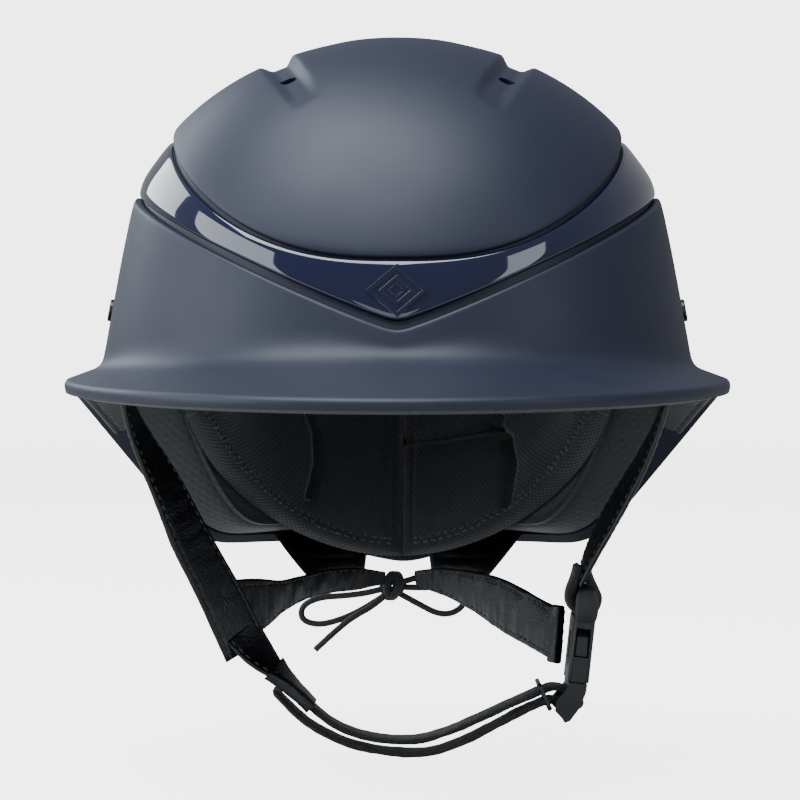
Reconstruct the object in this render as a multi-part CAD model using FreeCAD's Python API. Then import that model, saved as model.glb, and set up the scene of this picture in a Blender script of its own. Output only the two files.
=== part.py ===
"""Equestrian riding helmet with a wide wraparound peak, a halo band and a three-point harness.

Millimetres. +Z is up and the wearer faces -Y. The origin is the centre of the head opening at
brow height, where the head holds the helmet. Left is -X and right is +X, as seen from in front.
Angles called phi run round the helmet: 0 at the front, 90 degrees at +X and 180 at the nape.
"""
import FreeCAD, Part
import os
from math import asin, atan2, cos, degrees, hypot, pi, radians, sin, tan

V = FreeCAD.Vector

# Shell: outside half sizes at brow height, crown height and wall
HALF_WIDTH = 106.5
HALF_LENGTH = 127.0
CROWN_HEIGHT = 130.2
SHELL_WALL = 5.2
BOXINESS = 0.02
WALL_FOOT = 12.7
WALL_TAPER = 0.0017
NAPE_TUCK = 0.08
DOME_BASE = 40.0
LIP_ROUND_FROM = 66.0
LIP_ROUND = 0.0003
LIP_STEP = 2.2
LIP_SET_BACK = 1.4

# Peak: how far it stands out, its rise, its edge and the rim behind it
PEAK_FRONT = 48.0
PEAK_SIDE = 12.5
PEAK_EDGE = 4.0
PEAK_FILLET_FRONT = 15.0
PEAK_FILLET_SIDE = 6.0
EDGE_FRONT_Z = 0.6
EDGE_SIDE_RISE = 7.9
RIM_REAR_Z = -55.0
RIM_DROP_FROM = radians(88)
RIM_DROP_TO = radians(134)
PEAK_FADE_TO = radians(123)
RIM_EDGE = 1.6

# Halo band in its groove
BAND_LOW_FRONT = 25.0
BAND_LOW_RISE = 50.5
BAND_TALL_FRONT = 20.4
BAND_HIGH_SIDE = 96.3
BAND_THICK = 2.0
BAND_GAP_IN = 0.15
BAND_INSET_FRONT = 0.8
BAND_INSET_SIDE = 2.0
BAND_BEVEL = 1.4
LIP_GAP_FRONT = 3.0
LIP_GAP_SIDE = 1.0
CROWN_GAP_FRONT = 0.7
CROWN_GAP_SIDE = 2.8
GROOVE_FLOOR = BAND_THICK + BAND_GAP_IN

# Badge
BADGE_WIDE = 20.0
BADGE_HIGH = 17.6
BADGE_Z = 35.2
BADGE_DEEP = 1.2
BADGE_PROUD = 0.7
BADGE_RELIEF = 0.6

# Liners, measured inwards from the shell
GAP = 0.25
SKIN_GAP = 0.5
ANCHOR_ROOM = 0.8
FOAM_THICK = 17.6
COVER_THICK = 1.1
LINING_THICK = 1.5
LINING_INSET = 2.2
COVER_TOP = 62.0
BROW_PAD_THICK = 4.5
BROW_PAD_HIGH = 30.0
REAR_PAD_THICK = 11.0
REAR_PAD_TOP = 34.0
REAR_PAD_EDGE = 3.0
REAR_PAD_LOW = -68.0
REAR_PAD_RISE = 64.0
REAR_PAD_RISE_OVER = radians(84)
REAR_PAD_RISE_POWER = 1.95
REAR_PAD_ANGLES_LEFT = (-radians(97), -radians(179.5))
REAR_PAD_ANGLES_RIGHT = (radians(97), radians(178.5))
CROWN_PAD_THICK = 5.0
CROWN_PAD_RADIUS = 44.0
PAD_GAP = 0.7

# Crown vents
VENT_WIDE = 10.5
VENT_FLOOR = 5.0
VENT_DEPTH = 3.3
VENT_HOLE = 3.0

# Rivets
RIVET_HEAD = 4.0
RIVET_PROUD = 1.0
RIVET_SHANK = 2.0
RIVET_CLEAR = 0.05
RIVET_TAIL = 0.4
WASHER_RADIUS = 4.5
WASHER_THICK = 1.0
SIDE_RIVET = (radians(82), 32.0)
NAPE_RIVET = (radians(157), -36.0)

# Harness
STRAP_WIDE = 20.0
STRAP_THICK = 2.2
LOOP_WIDE = 18.5
CHIN_WIDE = 17.0
CHIN_THICK = 2.0
LACE_DIAMETER = 2.5
EYELET_CLEAR = 0.5
TAB_ANGLES = (radians(145), radians(172.5))
TAB_TAPER = 0.4
TAB_POLES = 7
PIVOT_LEFT = V(-55.0, 9.0, -90.0)
PIVOT_RIGHT = V(67.0, 9.0, -64.0)
PIVOT_LEFT_RADIUS = 9.0
PIVOT_RIGHT_RADIUS = 11.0
PIVOT_GAP = 0.5
CHIN_Y = 9.0
STRAP_PART_X = 15.0
STRAP_PART_GAP = 0.6

# Side-release buckle: u is across (+Y), v is its thickness and w runs down it from the top
BUCKLE_TOP = V(68.9, CHIN_Y, -71.0)
BUCKLE_DOWN = V(-0.109, 0.0, -0.994)
SOCKET_WIDE = 26.0
SOCKET_THICK = 7.8
SOCKET_LONG = 31.5
SOCKET_BODY_TOP = 8.2
CAVITY_WIDE = 21.2
CAVITY_THICK = 4.8
CAVITY_TOP = 11.0
WINDOW_TOP = 12.0
WINDOW_FOOT = 22.4
BAR_RADIUS = 2.2
BAR_W = 2.4
EAR_THICK = 2.1
BUCKLE_CLEAR = 0.15
GUIDE_HALF = 1.8
LADDER_BAR = 1.2
KEEPER_WIRE = 1.7
KEEPER_CLEAR = 0.45
KEEPER_X = 53.5
KEEPER_TRACK = ((45.0, -111.8), (52.0, -108.7))
LAYER_STEP = 4.4

# How finely the curved faces are laid out
ROUND = 64
WALL_ROWS = 12
FRONT_CROWDING = 0.45
DOME_ROWS = 8


def clamp(t):
    return max(0.0, min(1.0, t))


def smooth(t):
    t = clamp(t)
    return t * t * (3 - 2 * t)


def mix(a, b, t):
    return a + (b - a) * t


def unit(vector):
    return V(vector).normalize()


# ---------------------------------------------------------------- surfaces from rows of poles
PHIS = [2 * pi * i / ROUND - FRONT_CROWDING * sin(2 * pi * i / ROUND) for i in range(ROUND)]


def wrapped(phi):
    """phi from -180 to 180 degrees."""
    return atan2(sin(phi), cos(phi))


def knots(count, degree):
    spans = count - degree
    return [degree + 1] + [1] * (spans - 1) + [degree + 1], [float(i) for i in range(spans + 1)]


def ring_patch(rows):
    """A surface closed round the helmet. Each row of poles is one ring."""
    degree = min(3, len(rows) - 1)
    poles = [[row[i] for row in rows] for i in range(len(rows[0]))]
    v_mults, v_knots = knots(len(rows), degree)
    u_knots = [float(i) for i in range(len(poles) + 1)]
    surface = Part.BSplineSurface()
    surface.buildFromPolesMultsKnots(
        poles, [1] * len(u_knots), v_mults, u_knots, v_knots, True, False, 3, degree)
    return surface.toShape()


def open_patch(grid):
    degrees = min(3, len(grid) - 1), min(3, len(grid[0]) - 1)
    u_mults, u_knots = knots(len(grid), degrees[0])
    v_mults, v_knots = knots(len(grid[0]), degrees[1])
    surface = Part.BSplineSurface()
    surface.buildFromPolesMultsKnots(
        grid, u_mults, v_mults, u_knots, v_knots, False, False, *degrees)
    return surface.toShape()


def closed(faces):
    shell = Part.makeShell(faces)
    shell.sewShape()
    solid = Part.makeSolid(shell if shell.ShapeType == "Shell" else shell.Shells[0])
    if solid.Volume < 0:
        solid.reverse()
    return solid


def ring_solid(*patches):
    return closed([ring_patch(rows) for rows in patches])


def block(near, far):
    """A solid between two grids of poles that face each other."""
    sides = [
        [near[0], far[0]],
        [near[-1], far[-1]],
        [[row[0] for row in near], [row[0] for row in far]],
        [[row[-1] for row in near], [row[-1] for row in far]],
    ]
    return closed([open_patch(grid) for grid in [near, far] + sides])


# ---------------------------------------------------------------- the helmet's own outer form
def on_plan(phi, ratio, z):
    boxy = 1 + BOXINESS * sin(2 * phi) ** 2
    return V(HALF_WIDTH * ratio * boxy * sin(phi), -HALF_LENGTH * ratio * boxy * cos(phi), z)


def band_low(phi):
    """Height of the halo band's lower edge: a V at the front that levels out at the sides."""
    around = abs(wrapped(phi))
    rise = BAND_LOW_RISE * sin(min(0.9 * around, pi / 2)) ** 1.1
    fall = 15.0 * smooth((around - radians(100)) / radians(80))
    return BAND_LOW_FRONT + rise - fall


def band_high(phi):
    around = abs(wrapped(phi))
    low = BAND_LOW_FRONT + BAND_TALL_FRONT
    rise = (BAND_HIGH_SIDE - low) * smooth(0.5 * sin(min(around, pi / 2)) ** 1.4
                                           + 0.5 * clamp(around / radians(97)) ** 1.4)
    fall = 15.0 * smooth((around - radians(100)) / radians(80))
    return low + rise - fall


def lip_z(phi):
    return band_low(phi) - mix(LIP_GAP_FRONT, LIP_GAP_SIDE, sin(phi) ** 2)


def crown_z(phi):
    return band_high(phi) + mix(CROWN_GAP_FRONT, CROWN_GAP_SIDE, sin(phi) ** 2)


def band_inset(phi):
    return mix(BAND_INSET_FRONT, BAND_INSET_SIDE, sin(phi) ** 2)


def wall_ratio(z):
    if z < WALL_FOOT:
        return 1 - NAPE_TUCK * ((WALL_FOOT - z) / (WALL_FOOT - RIM_REAR_Z)) ** 1.5
    return 1 - WALL_TAPER * (z - WALL_FOOT)


def dome_form(phi):
    """(base height, power, ratio at the base) of the crown's superellipse."""
    side = sin(phi) ** 2
    return DOME_BASE * side, 2.2 - 0.15 * side, 0.985 - 0.016 * side


def dome(phi, tau):
    base, power, wide = dome_form(phi)
    z = base + (CROWN_HEIGHT - base) * sin(tau) ** (2 / power)
    return on_plan(phi, wide * cos(tau) ** (2 / power), z)


def dome_tau(phi, z):
    base, power, _ = dome_form(phi)
    return asin(clamp((z - base) / (CROWN_HEIGHT - base)) ** (power / 2))


def body(phi, z):
    """The outer form at height z: the lower wall, turning into the crown behind the band."""
    low = band_low(phi)
    share = smooth((z - low) / (0.7 * (band_high(phi) - low)))
    ratio = wall_ratio(z)
    if share > 0:
        base, power, wide = dome_form(phi)
        height = clamp((z - base) / (CROWN_HEIGHT - base))
        ratio = mix(ratio, wide * (1 - height ** power) ** (1 / power), share)
    return on_plan(phi, ratio, z)


def lip_wall(phi, z):
    """The lower wall with its top edge rounded over towards the band."""
    ratio = wall_ratio(z) - LIP_ROUND * max(0.0, z - LIP_ROUND_FROM) ** 2
    return on_plan(phi, ratio, z)


def normal(surface, phi, v):
    step = 0.001
    across = surface(phi + step, v) - surface(phi - step, v)
    up = surface(phi, v + step) - surface(phi, v - step)
    return unit(across.cross(up))


def out_of(surface, phi, v, distance):
    """A point of the surface, moved outwards by distance."""
    return surface(phi, v) + normal(surface, phi, v) * distance


def dome_rows(start, distance):
    """Rings from the height start(phi) up to the pole, moved outwards by distance."""
    rows = []
    for j in range(DOME_ROWS):
        row = []
        for phi in PHIS:
            tau = mix(dome_tau(phi, start(phi)), pi / 2, j / DOME_ROWS)
            row.append(out_of(dome, phi, tau, distance))
        rows.append(row)
    top = CROWN_HEIGHT + distance
    rows[-1] = [V(point.x, point.y, top) for point in rows[-1]]
    return rows + [[V(0, 0, top)] * ROUND]


def wall_rows(low, high, distance):
    """Rings from the height low(phi) up to high(phi), moved outwards by distance."""
    return [
        [out_of(body, phi, mix(low(phi), high(phi), j / (WALL_ROWS - 1)), distance)
         for phi in PHIS]
        for j in range(WALL_ROWS)
    ]


def lining_rows(low, depth):
    """Rings of a whole inner surface, depth in from the outer form."""
    return wall_rows(low, crown_z, -depth)[:-1] + dome_rows(crown_z, -depth)


# ---------------------------------------------------------------- peak and rim
def peak_reach(phi):
    """How far the peak stands out of the wall along phi."""
    around = abs(wrapped(phi))
    side = PEAK_SIDE * (1 - smooth((around - pi / 2) / (PEAK_FADE_TO - pi / 2)))
    return V(side * sin(phi), -(PEAK_FRONT if around < pi / 2 else side) * cos(phi), 0)


def edge_z(phi):
    around = abs(wrapped(phi))
    front = EDGE_FRONT_Z + EDGE_SIDE_RISE * (1 - cos(min(around, pi / 2)))
    drop = smooth((around - RIM_DROP_FROM) / (RIM_DROP_TO - RIM_DROP_FROM))
    return mix(front, RIM_REAR_Z, drop)


def edge(phi):
    z = edge_z(phi)
    return on_plan(phi, wall_ratio(z), z) + peak_reach(phi)


def foot_z(phi):
    """Where the wall meets the top of the peak."""
    return edge_z(phi) + 2.0 + 0.2 * peak_reach(phi).Length


def inner_z(phi):
    """The lower end of the shell's inner wall."""
    return edge_z(phi) + 0.4 + 0.15 * peak_reach(phi).Length


def edge_under(phi):
    """The lower corner of the peak's edge, drawn in where the peak fades into the rim."""
    peak = clamp(peak_reach(phi).Length / PEAK_SIDE)
    inwards = unit(V(-sin(phi), cos(phi), 0)) * 2.0 * (1 - peak)
    return edge(phi) + inwards - V(0, 0, mix(RIM_EDGE, PEAK_EDGE, peak))


def lower_row(phi):
    """Poles down the outside: groove floor, lip, wall, fillet, peak and its edge."""
    lip = lip_z(phi)
    foot = foot_z(phi)
    fillet = min(mix(PEAK_FILLET_FRONT, PEAK_FILLET_SIDE, sin(phi) ** 2),
                 0.85 * (lip - LIP_STEP - foot))
    reach = peak_reach(phi)
    corner = on_plan(phi, wall_ratio(foot), foot)
    tip = edge(phi)
    floor = band_inset(phi) + GROOVE_FLOOR
    under = edge_under(phi)
    middle = (tip + under) * 0.5 + reach * (0.8 / max(reach.Length, 8.0))
    row = [out_of(body, phi, lip, -floor), out_of(body, phi, lip, -LIP_SET_BACK),
           lip_wall(phi, lip)]
    top = lip - LIP_STEP
    for share in (0.0, 0.33, 0.66, 1.0):
        z = mix(top, foot + fillet, share)
        row.append(lip_wall(phi, z))
    row.append(corner)
    for share in (0.36, 0.66, 0.93):
        row.append(corner + (tip - corner) * share)
    return row + [tip, middle, under]


def make_shell():
    low = lip_z
    crown = dome_rows(crown_z, 0.0)
    floor_top = [out_of(body, phi, crown_z(phi), -band_inset(phi) - GROOVE_FLOOR) for phi in PHIS]
    rounding = [out_of(dome, phi, dome_tau(phi, crown_z(phi)), -1.0) for phi in PHIS]
    crown = [floor_top, rounding] + crown
    floor_low = [out_of(body, phi, low(phi), -band_inset(phi) - GROOVE_FLOOR) for phi in PHIS]
    floor = [floor_low]
    for share in (0.33, 0.66):
        floor.append([
            out_of(body, phi, mix(low(phi), crown_z(phi), share),
                   -band_inset(phi) - GROOVE_FLOOR) for phi in PHIS])
    floor.append(floor_top)
    rows = [lower_row(phi) for phi in PHIS]
    lower = [list(ring) for ring in zip(*rows)]
    inner = lining_rows(inner_z, SHELL_WALL)
    underside = [lower[-1], inner[0]]
    return ring_solid(crown, floor, lower, underside, inner)


# ---------------------------------------------------------------- small tools
def crown_spot(x, y):
    """The crown point above (x, y), as (point, outward normal)."""
    phi = atan2(x / HALF_WIDTH, -y / HALF_LENGTH)
    boxy = 1 + BOXINESS * sin(2 * phi) ** 2
    ratio = hypot(x / HALF_WIDTH, y / HALF_LENGTH) / boxy
    _, power, wide = dome_form(phi)
    tau = pi / 2 - asin(clamp((ratio / wide) ** (power / 2)))
    return dome(phi, tau), normal(dome, phi, tau)


def mirrored(shape):
    return shape.mirror(V(0, 0, 0), V(1, 0, 0))


def both_sides(make):
    """A left and a right piece in one node."""
    right = make()
    return Part.makeCompound([mirrored(right), right])


def peg(point, direction, radius, start, end):
    """A round peg along direction, from start to end counted from the point."""
    return Part.makeCylinder(radius, end - start, point + direction * start, direction)


def ribbon(stations, wide, thick):
    """A flat strap through stations of (point, direction of its width).

    wide is one width, or a list with one for each station.
    """
    points = [V(*point) for point, _ in stations]
    widths = wide if isinstance(wide, list) else [wide] * len(points)
    top = []
    bottom = []
    for i, (_, across) in enumerate(stations):
        along = unit(points[min(i + 1, len(points) - 1)] - points[max(i - 1, 0)])
        across = V(*across)
        across = unit(across - along * across.dot(along))
        up = along.cross(across) * (thick / 2)
        half = across * (widths[i] / 2)
        top.append([points[i] - half + up, points[i] + half + up])
        bottom.append([points[i] - half - up, points[i] + half - up])
    return block(top, bottom)


def vent_path(side):
    """The channel's centre line over the crown, as (x, y, share of the full depth)."""
    return [(side * x, y, depth) for x, y, depth in (
        (27.0, -88.0, -0.6), (31.0, -78.0, 0.3), (38.0, -58.0, 0.9), (42.0, -35.0, 1.0),
        (44.0, -8.0, 1.0), (45.0, 18.0, 0.9), (46.0, 44.0, 0.5), (45.0, 72.0, -0.6))]


def vent_cutter(side):
    lid = []
    floor = []
    path = vent_path(side)
    spots = [crown_spot(x, y) for x, y, _ in path]
    for i, (point, up) in enumerate(spots):
        along = unit(spots[min(i + 1, len(path) - 1)][0] - spots[max(i - 1, 0)][0])
        across = unit(along.cross(up))
        depth = VENT_DEPTH * path[i][2]
        high = point + up * 4.0
        deep = point - up * depth
        spread = VENT_WIDE / 2 + 3.0
        lid.append([high - across * spread, high, high + across * spread])
        floor.append([deep - across * VENT_FLOOR / 2, deep, deep + across * VENT_FLOOR / 2])
    return block(lid, floor)


VENT_HOLES = [(38.5, -57.0), (45.5, 30.0)]


def vent_holes(radius, depth):
    holes = []
    for side in (-1, 1):
        for x, y in VENT_HOLES:
            point, up = crown_spot(side * x, y)
            holes.append(peg(point, up, radius, -depth, 6.0))
    return Part.makeCompound(holes)


def rivet_spot(phi, z):
    return body(phi, z), normal(body, phi, z)


def strap_depth():
    """Centre of an anchored strap, inwards from the shell's outside."""
    return SHELL_WALL + ANCHOR_ROOM + STRAP_THICK / 2


def washer_depth():
    """Outer face of a washer, inwards from the shell's outside."""
    return strap_depth() + STRAP_THICK / 2 + SKIN_GAP


# ---------------------------------------------------------------- halo band and badge
def make_band():
    outer = []
    inner = []
    for phi in PHIS:
        low = band_low(phi)
        high = band_high(phi)
        inset = band_inset(phi)
        back = -inset - BAND_THICK
        outer.append(
            [out_of(body, phi, low, back), out_of(body, phi, low, -inset - 0.5)]
            + [out_of(body, phi, z, -inset) for z in (
                low + BAND_BEVEL, mix(low, high, 0.35), mix(low, high, 0.65), high - BAND_BEVEL)]
            + [out_of(body, phi, high, -inset - 0.5), out_of(body, phi, high, back)])
        inner.append([out_of(body, phi, mix(high, low, j / 3), back) for j in range(4)])
    return ring_solid([list(r) for r in zip(*outer)], [list(r) for r in zip(*inner)])


def badge_frame():
    """(centre on the band's face, outward normal, direction up the face)."""
    point = out_of(body, 0.0, BADGE_Z, -BAND_INSET_FRONT)
    out = normal(body, 0.0, BADGE_Z)
    return point, out, unit(V(1, 0, 0).cross(out)) * -1


def lozenge(share, start, end):
    """A diamond prism, share of the badge's size, from start to end along the normal."""
    point, out, up = badge_frame()
    half = V(1, 0, 0) * (BADGE_WIDE / 2 * share)
    tall = up * (BADGE_HIGH / 2 * share)
    base = point + out * start
    corners = [base - half, base + tall, base + half, base - tall, base - half]
    return Part.Face(Part.makePolygon(corners)).extrude(out * (end - start))


def make_badge():
    plate = lozenge(1.0, -BADGE_DEEP, BADGE_PROUD)
    plate = plate.cut(lozenge(0.8, BADGE_PROUD - BADGE_RELIEF, BADGE_PROUD + 1))
    for size, top in ((0.58, 0.1), (0.3, 0.0)):
        step = lozenge(size, -BADGE_DEEP / 2, BADGE_PROUD - top)
        step = step.cut(lozenge(size * 0.72, BADGE_PROUD - top - 0.4, BADGE_PROUD + 1))
        plate = plate.fuse(step)
    return plate


# ---------------------------------------------------------------- liners and pads
FOAM_OUT = SHELL_WALL + GAP
FOAM_IN = FOAM_OUT + FOAM_THICK
COVER_OUT = FOAM_IN + SKIN_GAP + GAP
COVER_IN = COVER_OUT + COVER_THICK
PAD_OUT = COVER_IN + PAD_GAP


def foam_low(phi):
    return inner_z(phi) + COVER_THICK + SKIN_GAP


def make_foam():
    outer = lining_rows(foam_low, FOAM_OUT)
    inner = lining_rows(foam_low, FOAM_IN)
    return ring_solid(outer, inner, [outer[0], inner[0]])


def make_cover():
    """Thin skin over the foam's lower edge and its inside."""
    def top(phi):
        return COVER_TOP

    def under(phi):
        return inner_z(phi) + GAP / 2

    def over(phi):
        return under(phi) + COVER_THICK

    skin = wall_rows(under, top, -COVER_IN)
    back = wall_rows(over, top, -COVER_OUT)
    flange_low = wall_rows(under, top, -FOAM_OUT)[0]
    flange_high = wall_rows(over, top, -FOAM_OUT)[0]
    return ring_solid([flange_low, skin[0]], skin, [skin[-1], back[-1]], back,
                      [back[0], flange_high], [flange_high, flange_low])


def make_lining():
    """Quilted panel under the peak, from side to side."""
    near = []
    far = []
    for j in range(15):
        phi = mix(-radians(104), radians(104), j / 14)
        tip = edge_under(phi)
        root = out_of(body, phi, inner_z(phi), -SHELL_WALL + LINING_INSET / 2)
        inwards = unit(root - tip)
        start = tip + inwards * LINING_INSET
        under = inwards.cross(V(cos(phi), sin(phi), 0))
        if under.z > 0:
            under = under * -1
        top = [start + (root - start) * share + under * SKIN_GAP for share in (0, 0.5, 1)]
        near.append(top)
        far.append([point + under * LINING_THICK for point in top])
    return block(near, far)


def pad(angle_from, angle_to, low, high, thick, rim, across, tall):
    """A cushion on the inside, fullest in its middle."""
    near = []
    far = []
    for i in range(across):
        s = i / (across - 1)
        phi = mix(angle_from, angle_to, s)
        back = []
        front = []
        for j in range(tall):
            t = j / (tall - 1)
            z = mix(low(phi), high(phi), t)
            puff = min(1.0, 2.6 * sin(pi * s)) * min(1.0, 2.2 * sin(pi * t))
            back.append(out_of(body, phi, z, -PAD_OUT))
            front.append(out_of(body, phi, z, -PAD_OUT - mix(rim, thick, puff)))
        near.append(back)
        far.append(front)
    return block(near, far)


def make_brow_pad():
    return pad(-radians(92), radians(92), lambda phi: inner_z(phi) + 1.5,
               lambda phi: inner_z(phi) + 1.5 + BROW_PAD_HIGH, BROW_PAD_THICK, 2.0, 15, 5)


def rear_pad_low(phi):
    """Lower edge of the rear cushions: lowest at the nape, rising to the sides."""
    share = clamp((pi - abs(wrapped(phi))) / REAR_PAD_RISE_OVER)
    return REAR_PAD_LOW + REAR_PAD_RISE * share ** REAR_PAD_RISE_POWER


def make_rear_pad(angle_from, angle_to):
    return pad(angle_from, angle_to, rear_pad_low, lambda phi: REAR_PAD_TOP,
               REAR_PAD_THICK, REAR_PAD_EDGE, 11, 8)


def make_crown_pad():
    """Round cushion under the crown."""
    def disc(depth, share):
        rows = []
        for j in range(5):
            radius = CROWN_PAD_RADIUS * share * (1 - j / 5)
            row = []
            for phi in PHIS:
                point, up = crown_spot(radius * sin(phi), -radius * 1.2 * cos(phi))
                row.append(point - up * depth)
            rows.append(row)
        top = CROWN_HEIGHT - depth
        rows[-1] = [V(point.x, point.y, top) for point in rows[-1]]
        return rows + [[V(0, 0, top)] * ROUND]

    upper = disc(FOAM_IN + PAD_GAP, 1.0)
    lower = disc(FOAM_IN + PAD_GAP + CROWN_PAD_THICK, 0.92)
    return ring_solid(upper, lower, [upper[0], lower[0]])


# ---------------------------------------------------------------- rivets
def make_rivets(phi, z):
    def one():
        point, out = rivet_spot(phi, z)
        deep = washer_depth() + WASHER_THICK + RIVET_TAIL
        head = peg(point, out, RIVET_HEAD, -0.6, RIVET_PROUD)
        head = head.makeFillet(0.6, [edge for edge in head.Edges if edge.Length > 20
                                     and (edge.CenterOfMass - point).dot(out) > 0.5])
        return head.fuse(peg(point, out, RIVET_SHANK, -deep, 0.0))
    return both_sides(one)


def rivet_seat(phi, z):
    """What the shell loses at a rivet: a sunk seat for the head and a hole for the shank."""
    def one():
        point, out = rivet_spot(phi, z)
        seat = peg(point, out, RIVET_HEAD + RIVET_CLEAR, -0.6, 3.0)
        return seat.fuse(peg(point, out, RIVET_SHANK + RIVET_CLEAR, -12.0, 0.0))
    return both_sides(one)


def make_washers():
    def one(phi, z):
        point, out = rivet_spot(phi, z)
        start = -(washer_depth() + WASHER_THICK)
        disc = peg(point, out, WASHER_RADIUS, start, start + WASHER_THICK)
        return disc.cut(peg(point, out, RIVET_SHANK + RIVET_CLEAR, start - 1, 0.0))

    discs = [one(*SIDE_RIVET), one(*NAPE_RIVET)]
    return Part.makeCompound(discs + [mirrored(disc) for disc in discs])


# ---------------------------------------------------------------- harness
def anchor_stations(phi, top, bottom):
    """Stations of a strap that lies against the shell's inside at one angle."""
    across = unit(body(phi + 0.01, top) - body(phi - 0.01, top)) * (1 if phi > 0 else -1)
    points = [out_of(body, phi, z, -strap_depth()) for z in (top, mix(top, bottom, 0.5), bottom)]
    return [(tuple(point), tuple(across)) for point in points]


def front_strap_stations(side):
    phi, z = SIDE_RIVET
    start = anchor_stations(side * phi, z + 11, 9.0)
    if side < 0:
        return start + [
            ((-97.2, -14, -3), (0.1, 0.99, 0)), ((-90.5, -10, -18), (0.3, 0.94, 0.1)),
            ((-82.5, -6, -33), (0.48, 0.85, 0.2)), ((-77.2, -2, -47), (0.56, 0.8, 0.2)),
            ((-69.5, 3, -62), (0.62, 0.74, 0.22)), ((-62, 7, -77), (0.7, 0.66, 0.25)),
            ((-55.5, 9, -92), (0.74, 0.62, 0.25))]
    return start + [
        ((96.3, -14, -3), (0.05, 0.99, 0)), ((89.6, -9, -20), (-0.08, 0.99, 0.05)),
        ((83, -4, -32), (-0.18, 0.97, 0.08)), ((76.6, 1, -44), (-0.2, 0.97, 0.1)),
        ((70.5, 6, -56), (-0.15, 0.99, 0)), ((67, 9, -66), (0, 1, 0))]


def pivot_axis():
    return unit(PIVOT_RIGHT - PIVOT_LEFT)


def pivot_drum(centre, radius):
    """A drum about the swing axis that strap ends are trimmed to."""
    return peg(centre, pivot_axis(), radius, -16.0, 16.0)


def make_front_strap(side):
    strap = ribbon(front_strap_stations(side), STRAP_WIDE, STRAP_THICK)
    centre = PIVOT_LEFT if side < 0 else PIVOT_RIGHT
    radius = PIVOT_LEFT_RADIUS if side < 0 else PIVOT_RIGHT_RADIUS
    strap = strap.cut(pivot_drum(centre, radius + PIVOT_GAP))
    pieces = sorted(strap.Solids, key=lambda piece: piece.BoundBox.ZMax)
    phi, z = SIDE_RIVET
    point, out = rivet_spot(side * phi, z)
    return pieces[-1].cut(peg(point, out, RIVET_SHANK + RIVET_CLEAR, -14.0, 0.0))


def pocket_thick():
    """A pocket reaches past the rivet's tail on the inner side of the strap."""
    return 2 * (washer_depth() + WASHER_THICK + RIVET_TAIL + GAP - strap_depth())


def strap_pocket(side):
    """The room that an anchored front strap takes out of the foam and its cover."""
    phi, z = SIDE_RIVET
    room = anchor_stations(side * phi, z + 13, -6.0)
    return ribbon(room, STRAP_WIDE + 2.0, pocket_thick())


def tab_grid(side, depth, grow, low):
    """Poles of a nape tab's face, depth in from its middle surface."""
    grid = []
    for i in range(TAB_POLES):
        phi = mix(TAB_ANGLES[0] - grow, TAB_ANGLES[1] + grow, i / (TAB_POLES - 1))
        column = []
        for z in (-27.0 + 40 * grow, -38.0, -49.0):
            column.append(out_of(body, phi, z, -strap_depth() - depth))
        hung = column[-1]
        for drop, inwards in ((7.0, 2.2), (14.0, 5.0), (22.0 + low, 7.2)):
            column.append(V(hung.x, hung.y - inwards, hung.z - drop))
        grid.append(column)
    for column in grid:
        for point, inner in zip(column[3:], grid[-1][3:]):
            point.x += (inner.x - point.x) * TAB_TAPER * (column[2].z - point.z) / 22.0
    return [[V(side * point.x, point.y, point.z) for point in column] for column in grid]


def make_tab(side):
    half = STRAP_THICK / 2
    tab = block(tab_grid(side, -half, 0.0, 0.0), tab_grid(side, half, 0.0, 0.0))
    phi, z = NAPE_RIVET
    point, out = rivet_spot(side * phi, z)
    tab = tab.cut(peg(point, out, RIVET_SHANK + RIVET_CLEAR, -14.0, 0.0))
    return tab.cut(cord(LACE_CROSSING, LACE_DIAMETER + 2 * EYELET_CLEAR))


def tab_pocket(side):
    half = pocket_thick() / 2
    return block(tab_grid(side, -half, 0.03, 4.0), tab_grid(side, half, 0.03, 4.0))


REAR_STRAP_LEFT = [
    ((-5, 98.5, -71), (0.4, 0, 1)), ((-15, 93, -71), (0.3, 0, 1)),
    ((-26.6, 80, -70.7), (0.1, 0, 1)),
    ((-35.4, 62, -72), (0, 0, 1)), ((-42.8, 45, -74), (0, 0, 1)),
    ((-49.5, 30, -76), (0, 0.1, 1)), ((-55, 20, -77), (0.1, 0.1, 1)),
    ((-60.5, 14.5, -77.5), (0.1, 0.1, 1))]
REAR_WIDE_LEFT = [5.0, 9.0, 10.0, 9.0, 11.0, 18.0, 22.0, 22.0]
REAR_STRAP_RIGHT = [
    ((7, 98.5, -71), (-0.4, 0, 1)), ((14.5, 93, -71.5), (-0.3, 0, 1)),
    ((23, 82, -72.5), (-0.2, 0, 1)),
    ((33, 66, -75.5), (-0.1, 0, 1)), ((42, 48, -79), (0, 0, 1)),
    ((50.5, 31, -83), (0, 0, 1)), ((58.4, 16, -86.5), (0, 0.1, 1))]
REAR_WIDE_RIGHT = [5.0, 9.0, 13.0, 18.0, 20.0, 20.0, 20.0]


def make_rear_strap(stations, widths):
    strap = ribbon(stations, widths, STRAP_THICK)
    strap = strap.cut(pivot_drum(PIVOT_LEFT, PIVOT_LEFT_RADIUS + PIVOT_GAP))
    return max(strap.Solids, key=lambda piece: piece.Volume)


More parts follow.
